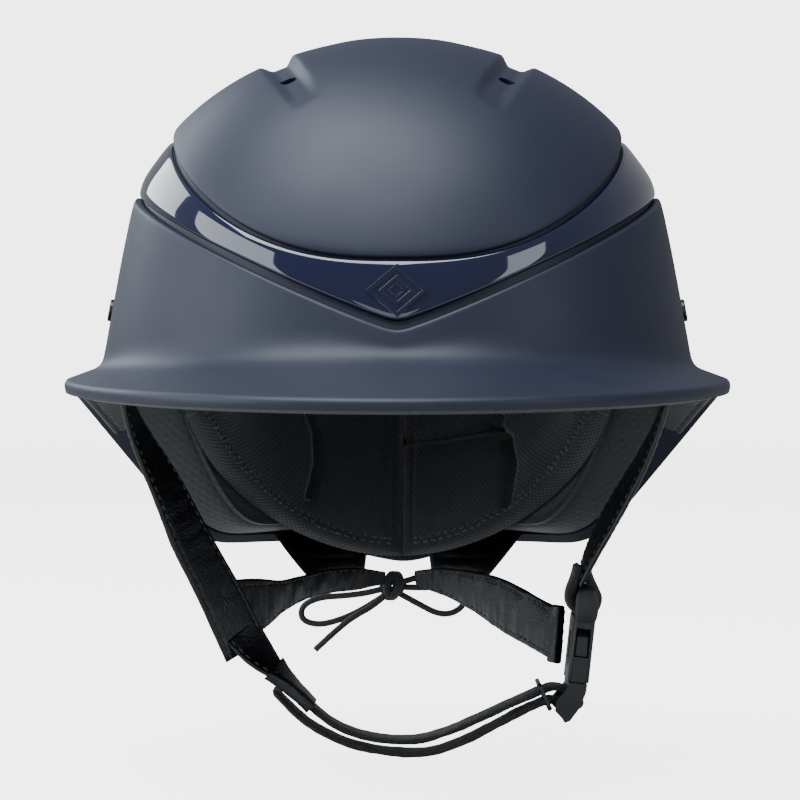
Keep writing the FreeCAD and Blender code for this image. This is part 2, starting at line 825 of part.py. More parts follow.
# ---------------------------------------------------------------- lace
KNOT = (-2.2, 103.5, -74.5)
LACE_CROSSING = [
    (-3.4, 102.4, -73.6), (-8.5, 101.0, -71.3), (-14.0, 102.8, -68.5), (-18.0, 108.6, -65.0),
    (-14.5, 112.6, -61.0), (-6.5, 111.4, -62.8), (2.0, 110.8, -64.2), (10.0, 111.4, -63.0),
    (17.0, 112.6, -60.8), (20.5, 108.6, -64.6), (16.0, 102.8, -68.5), (6.5, 101.0, -71.5),
    (-0.6, 102.4, -73.6)]
LACE_LOOP_LEFT = [
    (-3.4, 102.4, -75.0), (-11.0, 102.8, -77.2), (-21.5, 104.0, -78.6), (-31.5, 105.0, -79.2),
    (-38.6, 105.6, -82.6), (-38.9, 106.0, -88.4), (-32.0, 106.0, -90.6), (-23.0, 105.8, -88.4),
    (-12.5, 105.6, -83.4), (-3.2, 105.2, -77.0)]
LACE_LOOP_RIGHT = [
    (-0.8, 102.6, -74.8), (8.0, 103.4, -75.4), (17.5, 105.0, -75.0), (25.0, 106.4, -76.6),
    (27.6, 106.6, -81.0), (23.5, 106.4, -85.4), (17.0, 106.0, -86.4), (9.0, 105.6, -82.4),
    (-0.6, 105.4, -77.0)]
LACE_TAIL = [
    (-3.0, 102.6, -76.4), (-9.0, 100.6, -82.0), (-17.5, 99.6, -86.4), (-24.6, 99.4, -92.0),
    (-33.0, 99.4, -99.9)]


def cord(route, diameter, report=None):
    """A round cord: straight runs joined by arcs that touch them."""
    points = [V(*point) for point in route]
    start = points[0]
    edges = []
    radii = []
    for before, here, after in zip(points, points[1:], points[2:]):
        back = unit(before - here)
        ahead = unit(after - here)
        trim = 0.45 * min((before - here).Length, (after - here).Length)
        turn = pi - back.getAngle(ahead)
        radius = trim / tan(turn / 2)
        radii.append(radius)
        first = here + back * trim
        last = here + ahead * trim
        bisector = unit(back + ahead)
        middle = here + bisector * (radius / cos(turn / 2) - radius)
        edges.append(Part.LineSegment(start, first).toShape())
        edges.append(Part.Arc(first, middle, last).toShape())
        start = last
    edges.append(Part.LineSegment(start, points[-1]).toShape())
    path = Part.Wire(edges)
    section = Part.Wire(Part.makeCircle(diameter / 2, points[0], points[1] - points[0]))
    tube = path.makePipe(Part.Face(section))
    if report:
        share = tube.Volume / (pi * diameter ** 2 / 4 * path.Length)
        print(f"{report}: length {path.Length:.1f} mm, volume/section {share:.3f}, "
              f"radii {' '.join(f'{radius:.1f}' for radius in radii)}")
    return tube


def make_knot():
    centre = V(*KNOT)
    knot = Part.makeSphere(4.6, centre)
    for tilt in (V(1, 0.2, 0.9), V(-1, 0.2, 0.9)):
        knot = knot.fuse(Part.makeTorus(3.6, 1.6, centre, unit(tilt)))
    return knot


def make_lace(route, name):
    tube = cord(route, LACE_DIAMETER, name).cut(make_knot())
    return max(tube.Solids, key=lambda piece: piece.Volume)


# ---------------------------------------------------------------- chin strap
def level(points):
    """Stations of the chin strap from (x, z) pairs, its width across the helmet's length."""
    return [((x, CHIN_Y, z), (0, 1, 0)) for x, z in points]


CHIN_TOP_END = [
    ((-57.8, 8.6, -84), (0.74, 0.62, 0.25)), ((-52, 9, -92), (0.62, 0.74, 0.2)),
    ((-45.5, 9, -98.4), (0.3, 0.95, 0.1))]
CHIN_TOP = [(-39.5, -104.2), (-34, -109.8), (-28, -115.6), (-20, -120.8), (-10, -123.8),
            (1, -124.8), (8, -124.4), (15, -122.7), (22, -120.0)]
CHIN_TAIL = [(-45.5, -105.8), (-40.5, -111.6), (-35, -116.8), (-28, -121.4), (-20, -125.2),
             (-10, -128.0), (1, -129.4), (8, -129.4), (15, -128.3), (22, -125.9)]
CHIN_END = [(8, -124.4), (15, -122.7), (22, -120.0), (30, -116.4), (37.5, -112.9), (45, -109.6),
            (52, -106.5), (57, -104.7), (61, -105.6), (64.8, -107.6), (67.4, -110.0),
            (66.0, -112.3), (61.6, -112.0), (57, -109.1), (52, -110.9), (45, -114.0),
            (37.5, -118.0), (30, -122.2), (22, -125.9), (15, -128.3), (8, -129.4)]


def parting(low_side):
    """A box over one side of the strap's parting plane, which lies along the buckle's travel."""
    box = Part.makeBox(80, 60, 80, V(0, -30, -40))
    box.translate(V(STRAP_PART_GAP / 2 - 80 if low_side else -STRAP_PART_GAP / 2, 0, 0))
    lean = atan2(-BUCKLE_DOWN.x, -BUCKLE_DOWN.z)
    box.rotate(V(0, 0, 0), V(0, 1, 0), degrees(lean))
    box.translate(V(STRAP_PART_X, CHIN_Y, -126))
    return box


def make_chin_strap():
    top = ribbon(CHIN_TOP_END + level(CHIN_TOP), CHIN_WIDE, CHIN_THICK)
    tail = ribbon(level(CHIN_TAIL), CHIN_WIDE, CHIN_THICK)
    pieces = []
    for layer in (top, tail):
        layer = layer.cut(parting(False))
        pieces.append(max(layer.Solids, key=lambda piece: piece.Volume))
    drum = pivot_drum(PIVOT_LEFT, PIVOT_LEFT_RADIUS)
    above = Part.makeBox(60, 60, 60, PIVOT_LEFT + V(-30, -30, 0))
    pieces[0] = pieces[0].cut(above.cut(drum))
    return Part.makeCompound([pieces[0].Solids[0], pieces[1]])


def make_chin_end():
    strap = ribbon(level(CHIN_END), CHIN_WIDE, CHIN_THICK)
    strap = strap.cut(parting(True))
    return max(strap.Solids, key=lambda piece: piece.Volume)


def sleeve(stations, room):
    outer = ribbon(stations, CHIN_WIDE + 2 * room + 2.2, CHIN_THICK + 2 * room + 2.2)
    first = V(*stations[0][0])
    last = V(*stations[-1][0])
    longer = [(tuple(first + (first - V(*stations[1][0])) * 0.5), stations[0][1])]
    longer += stations
    longer += [(tuple(last + (last - V(*stations[-2][0])) * 0.5), stations[-1][1])]
    return outer.cut(ribbon(longer, CHIN_WIDE + 2 * room, CHIN_THICK + 2 * room))


def make_sleeve():
    stations = [CHIN_TOP_END[-1]] + level(CHIN_TOP[:2]) + level([(-31.5, -112.2)])
    return sleeve(stations, 0.35)


def make_loop():
    """Webbing folded round the socket's top bar and sewn to itself above it."""
    points = [(66.4, -60.0), (65.6, -65.0), (62.9, -69.5), (62.6, -73.4), (65.0, -77.0),
              (68.4, -77.9), (71.6, -76.6), (73.4, -73.2), (72.6, -69.4), (69.4, -65.0),
              (68.8, -60.0)]
    web = ribbon(level(points), LOOP_WIDE, CHIN_THICK)
    drum = pivot_drum(PIVOT_RIGHT, PIVOT_RIGHT_RADIUS)
    above = Part.makeBox(60, 60, 60, PIVOT_RIGHT + V(-30, -30, 0))
    web = web.cut(above.cut(drum))
    return max(web.Solids, key=lambda piece: piece.Volume)


# ---------------------------------------------------------------- buckle
def buckle_point(u, v, w):
    across = V(0, 1, 0)
    thick = across.cross(BUCKLE_DOWN)
    return BUCKLE_TOP + across * u + thick * v + BUCKLE_DOWN * w


def buckle_box(u, v, w):
    """A box between pairs of buckle coordinates."""
    corners = [buckle_point(u[0], v[0], w[0]), buckle_point(u[1], v[0], w[0]),
               buckle_point(u[1], v[0], w[1]), buckle_point(u[0], v[0], w[1])]
    face = Part.Face(Part.makePolygon(corners + corners[:1]))
    return face.extrude(buckle_point(0, v[1], 0) - buckle_point(0, v[0], 0))


def buckle_plate(outline, half):
    """An outline of (u, w) points, as thick as half each way."""
    corners = [buckle_point(u, -half, w) for u, w in outline]
    face = Part.Face(Part.makePolygon(corners + corners[:1]))
    return face.extrude(buckle_point(0, half, 0) - buckle_point(0, -half, 0))


def make_socket():
    half = SOCKET_WIDE / 2
    thick = SOCKET_THICK / 2
    outer = buckle_box((-half, half), (-thick, thick), (SOCKET_BODY_TOP, SOCKET_LONG))
    long_edges = [edge for edge in outer.Edges if abs(edge.Length - SOCKET_THICK) > 0.1
                  and abs(edge.Length - SOCKET_WIDE) > 0.1]
    outer = outer.makeFillet(1.4, long_edges)
    across = V(0, 1, 0)
    ear_half = EAR_THICK / 2
    for side in (-1, 1):
        middle = side * (half - ear_half - 0.15)
        ear = buckle_box((middle - ear_half, middle + ear_half), (-thick + 1.1, thick - 1.1),
                         (BAR_W, SOCKET_BODY_TOP + 2))
        knob = peg(buckle_point(middle, 0, BAR_W), across, thick - 0.6, -ear_half, ear_half)
        outer = outer.fuse(ear.fuse(knob))
    outer = outer.fuse(peg(buckle_point(0, 0, BAR_W), across, BAR_RADIUS, 1 - half, half - 1))
    cavity = buckle_box((-CAVITY_WIDE / 2, CAVITY_WIDE / 2), (-CAVITY_THICK / 2, CAVITY_THICK / 2),
                        (CAVITY_TOP, SOCKET_LONG + 1))
    window = buckle_box((-half - 1, half + 1), (-CAVITY_THICK / 2 - 0.2, CAVITY_THICK / 2 + 0.2),
                        (WINDOW_TOP, WINDOW_FOOT))
    face_window = buckle_box((-3.0, 3.0), (0, thick + 1), (14.0, 24.0))
    return outer.cut([cavity, window, face_window])


def arm_outline(side):
    reach = SOCKET_WIDE / 2 - 0.7
    inner = CAVITY_WIDE / 2 - BUCKLE_CLEAR
    points = [(6.3, SOCKET_LONG + 0.3), (6.3, 16.5), (7.6, 13.2), (9.2, WINDOW_TOP + 0.5),
              (reach - 0.6, 15.0), (reach, WINDOW_FOOT - 0.6), (reach, WINDOW_FOOT - BUCKLE_CLEAR),
              (inner - 0.6, WINDOW_FOOT - BUCKLE_CLEAR), (8.6, WINDOW_FOOT + 3.0),
              (8.6, SOCKET_LONG + 0.3)]
    return [(side * u, w) for u, w in points]


def make_arm(side):
    return buckle_plate(arm_outline(side), CAVITY_THICK / 2 - BUCKLE_CLEAR)


LADDER_RAIL = [(61.9, -104.3), (68.7, -103.6), (68.3, -106.4), (66.2, -111.6), (62.6, -116.4),
               (60.6, -117.2), (59.6, -115.4), (57.2, -112.9), (57.4, -109.6), (60.2, -106.4)]
LADDER_TAB = [(58.6, -114.2), (62.9, -114.2), (62.2, -116.5), (60.7, -117.0)]
LADDER_BAR_AT = (63.9, -109.9)


def side_plate(outline, y_from, y_to):
    """An outline of (x, z) points, from one y to another."""
    corners = [V(x, y_from, z) for x, z in outline]
    face = Part.Face(Part.makePolygon(corners + corners[:1]))
    return face.extrude(V(0, y_to - y_from, 0))


def make_insert():
    base = buckle_box((-12.2, 12.2), (-3.4, 3.4), (SOCKET_LONG + 0.45, SOCKET_LONG + 2.9))
    guide = buckle_box((-GUIDE_HALF, GUIDE_HALF),
                       (-CAVITY_THICK / 2 + BUCKLE_CLEAR, CAVITY_THICK / 2 - BUCKLE_CLEAR),
                       (13.5, SOCKET_LONG + 1))
    insert = base.fuse(guide)
    for side in (-1, 1):
        near, far = sorted((CHIN_Y + side * 10.2, CHIN_Y + side * 12.2))
        insert = insert.fuse(side_plate(LADDER_RAIL, near, far))
    insert = insert.fuse(side_plate(LADDER_TAB, CHIN_Y - 10.5, CHIN_Y + 10.5))
    x, z = LADDER_BAR_AT
    return insert.fuse(peg(V(x, CHIN_Y, z), V(0, 1, 0), LADDER_BAR, -11.0, 11.0))


def strap_line(x):
    """(centre height, slope) of the doubled chin strap where the keeper rides."""
    (x0, z0), (x1, z1) = KEEPER_TRACK
    slope = (z1 - z0) / (x1 - x0)
    return z0 + slope * (x - x0), slope


def make_keeper():
    """Wire ring round both layers of the strap."""
    z, slope = strap_line(KEEPER_X)
    half = KEEPER_WIRE / 2
    tall = LAYER_STEP / 2 + CHIN_THICK / 2 + KEEPER_CLEAR
    wide = CHIN_WIDE / 2 + KEEPER_CLEAR
    outer = Part.makeBox(KEEPER_WIRE, 2 * (wide + KEEPER_WIRE), 2 * (tall + KEEPER_WIRE),
                         V(-half, -wide - KEEPER_WIRE, -tall - KEEPER_WIRE))
    outer = outer.makeFillet(KEEPER_WIRE, [edge for edge in outer.Edges
                                           if abs(edge.Length - KEEPER_WIRE) < 0.01])
    ring = outer.cut(Part.makeBox(4, 2 * wide, 2 * tall, V(-2, -wide, -tall)))
    ring = ring.makeFillet(KEEPER_WIRE * 0.3, ring.Edges)
    ring.rotate(V(0, 0, 0), V(0, 1, 0), -degrees(atan2(slope, 1)))
    ring.translate(V(KEEPER_X, CHIN_Y, z))
    return ring


# ---------------------------------------------------------------- assembly
def build():
    nodes = {}
    shell = make_shell()
    for side in (-1, 1):
        shell = shell.cut(vent_cutter(side))
    shell = shell.cut(vent_holes(VENT_HOLE, 14.0))
    shell = shell.cut(rivet_seat(*SIDE_RIVET))
    nodes["outer_shell"] = shell.cut(rivet_seat(*NAPE_RIVET))
    nodes["halo_band"] = make_band().cut(lozenge(1.0, -BADGE_DEEP, 5.0))
    nodes["badge"] = make_badge()
    foam = make_foam().cut(vent_holes(VENT_HOLE + 1.0, 40.0))
    cover = make_cover()
    pockets = [strap_pocket(side) for side in (-1, 1)] + [tab_pocket(side) for side in (-1, 1)]
    for pocket in pockets:
        foam = foam.cut(pocket)
        cover = cover.cut(pocket)
    nodes["impact_liner"] = foam
    nodes["liner_cover"] = cover
    nodes["peak_lining"] = make_lining()
    nodes["brow_pad"] = make_brow_pad()
    nodes["rear_pad_left"] = make_rear_pad(*REAR_PAD_ANGLES_LEFT)
    nodes["rear_pad_right"] = make_rear_pad(*REAR_PAD_ANGLES_RIGHT)
    nodes["crown_pad"] = make_crown_pad()
    nodes["side_rivets"] = make_rivets(*SIDE_RIVET)
    nodes["nape_rivets"] = make_rivets(*NAPE_RIVET)
    nodes["rivet_washers"] = make_washers()
    nodes["front_strap_left"] = make_front_strap(-1)
    nodes["front_strap_right"] = make_front_strap(1)
    nodes["rear_strap_left"] = make_rear_strap(REAR_STRAP_LEFT, REAR_WIDE_LEFT)
    nodes["rear_strap_right"] = make_rear_strap(REAR_STRAP_RIGHT, REAR_WIDE_RIGHT)
    nodes["nape_tab_left"] = make_tab(-1)
    nodes["nape_tab_right"] = make_tab(1)
    nodes["lace_knot"] = make_knot()
    nodes["lace_crossing"] = make_lace(LACE_CROSSING, "lace_crossing")
    nodes["lace_loop_left"] = make_lace(LACE_LOOP_LEFT, "lace_loop_left")
    nodes["lace_loop_right"] = make_lace(LACE_LOOP_RIGHT, "lace_loop_right")
    nodes["lace_tail"] = make_lace(LACE_TAIL, "lace_tail")
    nodes["strap_loop_right"] = make_loop()
    nodes["chin_strap"] = make_chin_strap()
    nodes["chin_strap_sleeve"] = make_sleeve()
    nodes["chin_strap_end"] = make_chin_end()
    nodes["buckle_socket"] = make_socket()
    nodes["buckle_insert"] = make_insert()
    nodes["latch_arm_front"] = make_arm(-1)
    nodes["latch_arm_rear"] = make_arm(1)
    nodes["strap_keeper"] = make_keeper()
    return nodes


os.makedirs("parts", exist_ok=True)
for name, shape in build().items():
    shape.exportStep(f"parts/{name}.step")
    box = shape.BoundBox
    print(f"{name}: {len(shape.Solids)} solid(s), {shape.Volume / 1000:.1f} cm3, "
          f"{'valid' if shape.isValid() else 'INVALID'}, "
          f"x {box.XMin:.0f}..{box.XMax:.0f} y {box.YMin:.0f}..{box.YMax:.0f} "
          f"z {box.ZMin:.0f}..{box.ZMax:.0f}")
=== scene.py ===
"""Looks of the equestrian riding helmet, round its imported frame.

Forms are worked out in millimetres, in the frame's own axes, and turned into metres when a mesh
or a curve is made. phi runs round the helmet: 0 at the front, 90 degrees at +X, 180 at the nape.
"""
from math import atan2, cos, hypot, pi, radians, sin

import bmesh
import bpy
import numpy as np
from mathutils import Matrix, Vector


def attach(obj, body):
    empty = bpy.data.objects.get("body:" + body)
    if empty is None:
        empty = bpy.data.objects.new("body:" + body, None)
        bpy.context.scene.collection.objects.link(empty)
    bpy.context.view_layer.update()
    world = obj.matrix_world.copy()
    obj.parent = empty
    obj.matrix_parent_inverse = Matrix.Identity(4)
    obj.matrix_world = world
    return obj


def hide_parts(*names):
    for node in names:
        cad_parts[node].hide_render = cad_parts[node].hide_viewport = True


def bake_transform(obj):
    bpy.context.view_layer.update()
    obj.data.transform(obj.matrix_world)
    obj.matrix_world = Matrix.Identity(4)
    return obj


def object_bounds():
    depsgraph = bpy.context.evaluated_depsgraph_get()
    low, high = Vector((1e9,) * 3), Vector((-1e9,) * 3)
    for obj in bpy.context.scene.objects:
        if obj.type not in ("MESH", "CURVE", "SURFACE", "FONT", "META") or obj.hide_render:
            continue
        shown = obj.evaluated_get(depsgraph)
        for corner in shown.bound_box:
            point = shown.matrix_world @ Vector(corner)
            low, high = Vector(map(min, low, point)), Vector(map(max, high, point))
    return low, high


MM = 0.001
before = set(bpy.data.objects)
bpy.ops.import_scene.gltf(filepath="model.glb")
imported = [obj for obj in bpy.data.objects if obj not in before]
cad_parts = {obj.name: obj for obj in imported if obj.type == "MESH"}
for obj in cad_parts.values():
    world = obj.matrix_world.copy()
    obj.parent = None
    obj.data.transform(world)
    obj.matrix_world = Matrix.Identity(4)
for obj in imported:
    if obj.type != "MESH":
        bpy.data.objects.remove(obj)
cad_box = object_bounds()


def add(name, data):
    """A new object in the scene."""
    made = bpy.data.objects.new(name, data)
    bpy.context.scene.collection.objects.link(made)
    return made


# ---- camera, light and floor
CAMERA_AWAY = 1.0
LENS = 123.75
TINT = (0.92, 1.0, 1.04)
AMBIENT = 0.3
BACKDROP_GLOW = 4.2
FLOOR_GLOW = 3.9
FLOOR_SIZE = 14


def make_camera():
    camera = add("camera", bpy.data.cameras.new("camera"))
    camera.location = (0.0009, -CAMERA_AWAY, 0.0)
    camera.rotation_euler = (pi / 2, 0, 0)
    camera.data.lens = LENS
    camera.data.sensor_width = 36
    camera.data.clip_start = 0.05
    bpy.context.scene.camera = camera


def area_light(name, place, target, size, power):
    light = bpy.data.lights.new(name, "AREA")
    light.shape = "RECTANGLE"
    light.size, light.size_y = size
    light.energy = power
    light.color = TINT
    lamp = add(name, light)
    lamp.location = place
    lamp.rotation_euler = (Vector(target) - Vector(place)).to_track_quat("-Z", "Y").to_euler()


def make_studio():
    world = bpy.data.worlds.new("studio")
    bpy.context.scene.world = world
    world.use_nodes = True
    tree = world.node_tree
    ambient = tree.nodes["Background"]
    ambient.inputs["Color"].default_value = (0.93, 0.96, 1.0, 1)
    ambient.inputs["Strength"].default_value = AMBIENT
    seen = tree.nodes.new("ShaderNodeBackground")
    seen.inputs["Color"].default_value = (1, 1, 1, 1)
    seen.inputs["Strength"].default_value = BACKDROP_GLOW
    path = tree.nodes.new("ShaderNodeLightPath")
    both = tree.nodes.new("ShaderNodeMixShader")
    tree.links.new(path.outputs["Is Camera Ray"], both.inputs[0])
    tree.links.new(ambient.outputs[0], both.inputs[1])
    tree.links.new(seen.outputs[0], both.inputs[2])
    tree.links.new(both.outputs[0], tree.nodes["World Output"].inputs["Surface"])
    area_light("top_softbox", (-0.3, -0.45, 1.4), (0, 0, 0), (1.5, 1.1), 46)
    area_light("left_softbox", (-1.55, -0.35, 0.45), (0, 0, 0.05), (1.35, 1.1), 19)
    area_light("right_strip", (1.25, -0.85, 0.45), (0, 0, 0.05), (0.5, 0.9), 4)
    area_light("front_fill", (-0.2, -2.4, 0.3), (0, 0, 0), (1.4, 0.9), 6)
    area_light("back_light", (-1.3, 1.3, 0.9), (0, 0, 0), (1.2, 1.0), 14)


def make_floor():
    bpy.ops.mesh.primitive_plane_add(size=FLOOR_SIZE, location=(0, 0, cad_box[0][2] - 0.0015))
    floor = bpy.context.object
    floor.name = "floor"
    look = Look("floor_white", (0.45, 0.45, 0.45), 0.7)
    look.shader.inputs["Emission Color"].default_value = (1, 1, 1, 1)
    seen = look.node("LightPath").outputs["Is Camera Ray"]
    look.tree.links.new(look.spread(seen, 0.0, FLOOR_GLOW), look.shader.inputs["Emission Strength"])
    floor.data.materials.append(look.material)


# ---- materials
class Look:
    """A Principled material with a few helpers for its procedural detail."""

    def __init__(self, name, colour, rough, coords="Object", **sockets):
        self.material = bpy.data.materials.new(name)
        self.material.use_nodes = True
        self.tree = self.material.node_tree
        self.shader = self.tree.nodes["Principled BSDF"]
        self.colour = colour
        self.shader.inputs["Base Color"].default_value = (*colour, 1)
        self.shader.inputs["Roughness"].default_value = rough
        for socket, value in sockets.items():
            self.shader.inputs[socket.replace("_", " ")].default_value = value
        self.place = self.tree.nodes.new("ShaderNodeTexCoord").outputs[coords]
        self.relief = None

    def node(self, kind, inputs=(), **settings):
        made = self.tree.nodes.new("ShaderNode" + kind)
        for key, value in settings.items():
            setattr(made, key, value)
        for key, value in dict(inputs).items():
            if isinstance(value, bpy.types.NodeSocket):
                self.tree.links.new(value, made.inputs[key])
            else:
                made.inputs[key].default_value = value
        return made

    def spots(self, scale, detail=3.0):
        made = self.node("TexNoise", {"Vector": self.place, "Scale": scale, "Detail": detail})
        return made.outputs["Fac"]

    def cells(self, scale, feature="F1", randomness=1.0):
        made = self.node("TexVoronoi", {"Vector": self.place, "Scale": scale,
                                        "Randomness": randomness}, feature=feature)
        return made.outputs["Distance"]

    def ribs(self, scale, turn=0.0):
        place = self.node("Mapping", {"Vector": self.place, "Rotation": (0, 0, turn)}).outputs[0]
        return self.node("TexWave", {"Vector": place, "Scale": scale}).outputs["Fac"]

    def maths(self, operation, first, second):
        return self.node("Math", {0: first, 1: second}, operation=operation).outputs[0]

    def spread(self, value, low, high):
        return self.node("MapRange", {"Value": value, "To Min": low, "To Max": high}).outputs[0]

    def bump(self, height, strength, distance):
        inputs = {"Height": height, "Strength": strength, "Distance": distance}
        if self.relief:
            inputs["Normal"] = self.relief
        self.relief = self.node("Bump", inputs).outputs[0]
        self.tree.links.new(self.relief, self.shader.inputs["Normal"])

    def tint(self, share, colour):
        """Mixes another colour in by a varying share."""
        base = self.shader.inputs["Base Color"]
        under = base.links[0].from_socket if base.links else (*self.colour, 1)
        made = self.node("Mix", {0: share, 6: under, 7: (*colour, 1)}, data_type="RGBA")
        self.tree.links.new(made.outputs[2], base)

    def rough(self, share, low, high):
        self.tree.links.new(self.spread(share, low, high), self.shader.inputs["Roughness"])


def make_looks():
    shell = Look("soft_touch_navy", (0.008, 0.010, 0.026), 0.46, Specular_IOR_Level=0.4)
    shell.bump(shell.spots(2600, 2), 0.10, 0.0004)
    shell.rough(shell.spots(60, 5), 0.44, 0.54)
    shell.tint(shell.spread(shell.spots(25, 4), 0.0, 0.35), (0.010, 0.012, 0.028))

    halo = Look("gloss_navy", (0.003, 0.005, 0.028), 0.05, Coat_Weight=0.6, Coat_Roughness=0.02,
                Specular_IOR_Level=0.6)
    halo.bump(halo.spots(40, 1), 0.008, 0.002)
    halo.rough(halo.spots(300, 4), 0.035, 0.075)

    plastic = Look("moulded_black", (0.012, 0.012, 0.014), 0.42, Specular_IOR_Level=0.5)
    plastic.bump(plastic.cells(2600), 0.25, 0.0002)
    plastic.bump(plastic.spots(900, 3), 0.15, 0.0002)
    plastic.rough(plastic.spots(150, 4), 0.36, 0.5)

    leather = Look("harness_leather", (0.0025, 0.0025, 0.004), 0.36, Specular_IOR_Level=0.5)
    leather.bump(leather.spots(90, 4), 0.45, 0.0012)
    leather.bump(leather.cells(1500, "SMOOTH_F1"), 0.5, 0.00025)
    leather.bump(leather.cells(700, "DISTANCE_TO_EDGE"), 0.2, 0.0003)
    leather.rough(leather.spots(120, 5), 0.26, 0.46)
    leather.tint(leather.spread(leather.spots(140, 4), 0.0, 0.5), (0.005, 0.005, 0.008))

    webbing = Look("ribbed_webbing", (0.004, 0.004, 0.006), 0.5, coords="UV", Sheen_Weight=0.12)
    webbing.bump(webbing.ribs(450), 0.6, 0.0003)
    webbing.bump(webbing.ribs(700, pi / 2), 0.4, 0.0002)
    webbing.tint(webbing.spread(webbing.ribs(450), 0.0, 0.6), (0.014, 0.015, 0.019))

    thread = Look("thread", (0.03, 0.032, 0.04), 0.6, Sheen_Weight=0.3)
    thread.bump(thread.ribs(2400, 0.6), 0.5, 0.0001)
    thread.tint(thread.spread(thread.spots(600), 0.0, 0.5), (0.05, 0.052, 0.06))

    lace = Look("lace_cord", (0.013, 0.013, 0.016), 0.7, Sheen_Weight=0.3)
    lace.bump(lace.cells(1100, randomness=0.4), 0.8, 0.0003)
    lace.bump(lace.spots(2500, 2), 0.4, 0.0001)
    lace.tint(lace.spread(lace.cells(1100, randomness=0.4), 0.6, 0.0), (0.035, 0.036, 0.042))

    pad = Look("spacer_mesh", (0.003, 0.0035, 0.006), 0.75, coords="UV", Sheen_Weight=0.3)
    weave = pad.maths("MULTIPLY", pad.ribs(210, pi / 4), pad.ribs(210, -pi / 4))
    pad.bump(weave, 0.55, 0.0004)
    pad.bump(pad.spots(1500, 3), 0.3, 0.0002)
    pad.tint(pad.spread(weave, 0.0, 0.8), (0.009, 0.010, 0.016))

    cover = Look("honeycomb_cover", (0.012, 0.013, 0.015), 0.6, coords="UV", Sheen_Weight=0.15)
    comb = cover.maths("ADD", cover.maths("ADD", cover.ribs(116), cover.ribs(116, radians(60))),
                       cover.ribs(116, radians(120)))
    cover.bump(comb, 0.15, 0.0004)
    cover.bump(cover.spots(1500, 3), 0.3, 0.0002)
    cover.tint(cover.spread(comb, 0.0, 0.2), (0.02, 0.022, 0.025))

    binding = Look("sewn_lining", (0.03, 0.032, 0.036), 0.65, Sheen_Weight=0.2)
    binding.bump(binding.cells(900), 0.5, 0.0003)
    binding.tint(binding.spread(binding.spots(700, 4), 0.0, 0.8), (0.015, 0.016, 0.018))

    foam = Look("bead_foam", (0.02, 0.02, 0.023), 0.8)
    foam.bump(foam.cells(420, "DISTANCE_TO_EDGE"), 0.7, 0.0006)
    foam.tint(foam.spread(foam.cells(420), 0.0, 0.5), (0.045, 0.045, 0.05))

    metal = Look("dark_rivet_metal", (0.05, 0.05, 0.055), 0.3, Metallic=1.0)
    metal.bump(metal.spots(900, 3), 0.1, 0.0002)
    metal.rough(metal.spots(500, 4), 0.22, 0.42)
    return {"shell": shell, "halo": halo, "plastic": plastic, "leather": leather,
            "webbing": webbing, "thread": thread, "lace": lace, "pad": pad, "cover": cover,
            "binding": binding, "foam": foam, "metal": metal}


# ---- splines and meshes
def basis(count, t, degree=3):
    """Weights of a clamped uniform B-spline's poles at t, which runs from 0 to 1."""
    degree = min(degree, count - 1)
    spans = count - degree
    knots = np.r_[np.zeros(degree), np.arange(spans + 1), np.full(degree, spans)].astype(float)
    t = np.clip(np.asarray(t, float) * spans, 0, spans - 1e-9)[:, None]
    weights = ((t >= knots[:-1]) & (t < knots[1:])).astype(float)
    for d in range(1, degree + 1):
        rise = knots[d:-1] - knots[:-d - 1]
        fall = knots[d + 1:] - knots[1:-d]
        rise = np.where(rise > 0, rise, 1)
        fall = np.where(fall > 0, fall, 1)
        weights = (weights[:, :-1] * (t - knots[:-d - 1]) / rise
                   + weights[:, 1:] * (knots[d + 1:] - t) / fall)
    return weights


def ring_basis(count, samples):
    """Weights of a closed uniform cubic B-spline's poles, with the first sample repeated."""
    t = np.linspace(0, count, samples + 1)
    weights = np.zeros((samples + 1, count))
    i = np.floor(t).astype(int)
    f = t - i
    terms = ((1 - f) ** 3, 3 * f ** 3 - 6 * f ** 2 + 4, -3 * f ** 3 + 3 * f ** 2 + 3 * f + 1,
             f ** 3)
    for k, term in enumerate(terms):
        np.add.at(weights, (np.arange(samples + 1), (i + k - 1) % count), term / 6)
    return weights


def ring_surface(rows, around, down):
    """Points of the surface that has these rings of poles."""
    rows = np.asarray(rows)
    return np.einsum("ar,rnk,bn->abk", basis(len(rows), np.linspace(0, 1, down)), rows,
                     ring_basis(rows.shape[1], around))


def lengths(points):
    """Distance along a line of points."""
    return np.r_[0, np.cumsum(np.linalg.norm(np.diff(points, axis=0), axis=1))]


def flat_uv(grid):
    """Texture places of a grid, in metres along its middle row and column."""
    rows, cols = grid.shape[:2]
    u = lengths(grid[rows // 2])
    v = lengths(grid[:, cols // 2])
    return np.stack(np.meshgrid(u, v), -1) * MM


def grid_normals(grid):
    across = np.gradient(grid, axis=1)
    down = np.gradient(grid, axis=0)
    out = np.cross(across, down)
    return out / np.maximum(np.linalg.norm(out, axis=-1, keepdims=True), 1e-9)


def out_normals(grid):
    """Normals of a grid round the helmet, pointing away from its middle."""
    out = grid_normals(grid)
    return out * np.sign((out * (grid - [0, 0, 20])).sum(-1, keepdims=True))


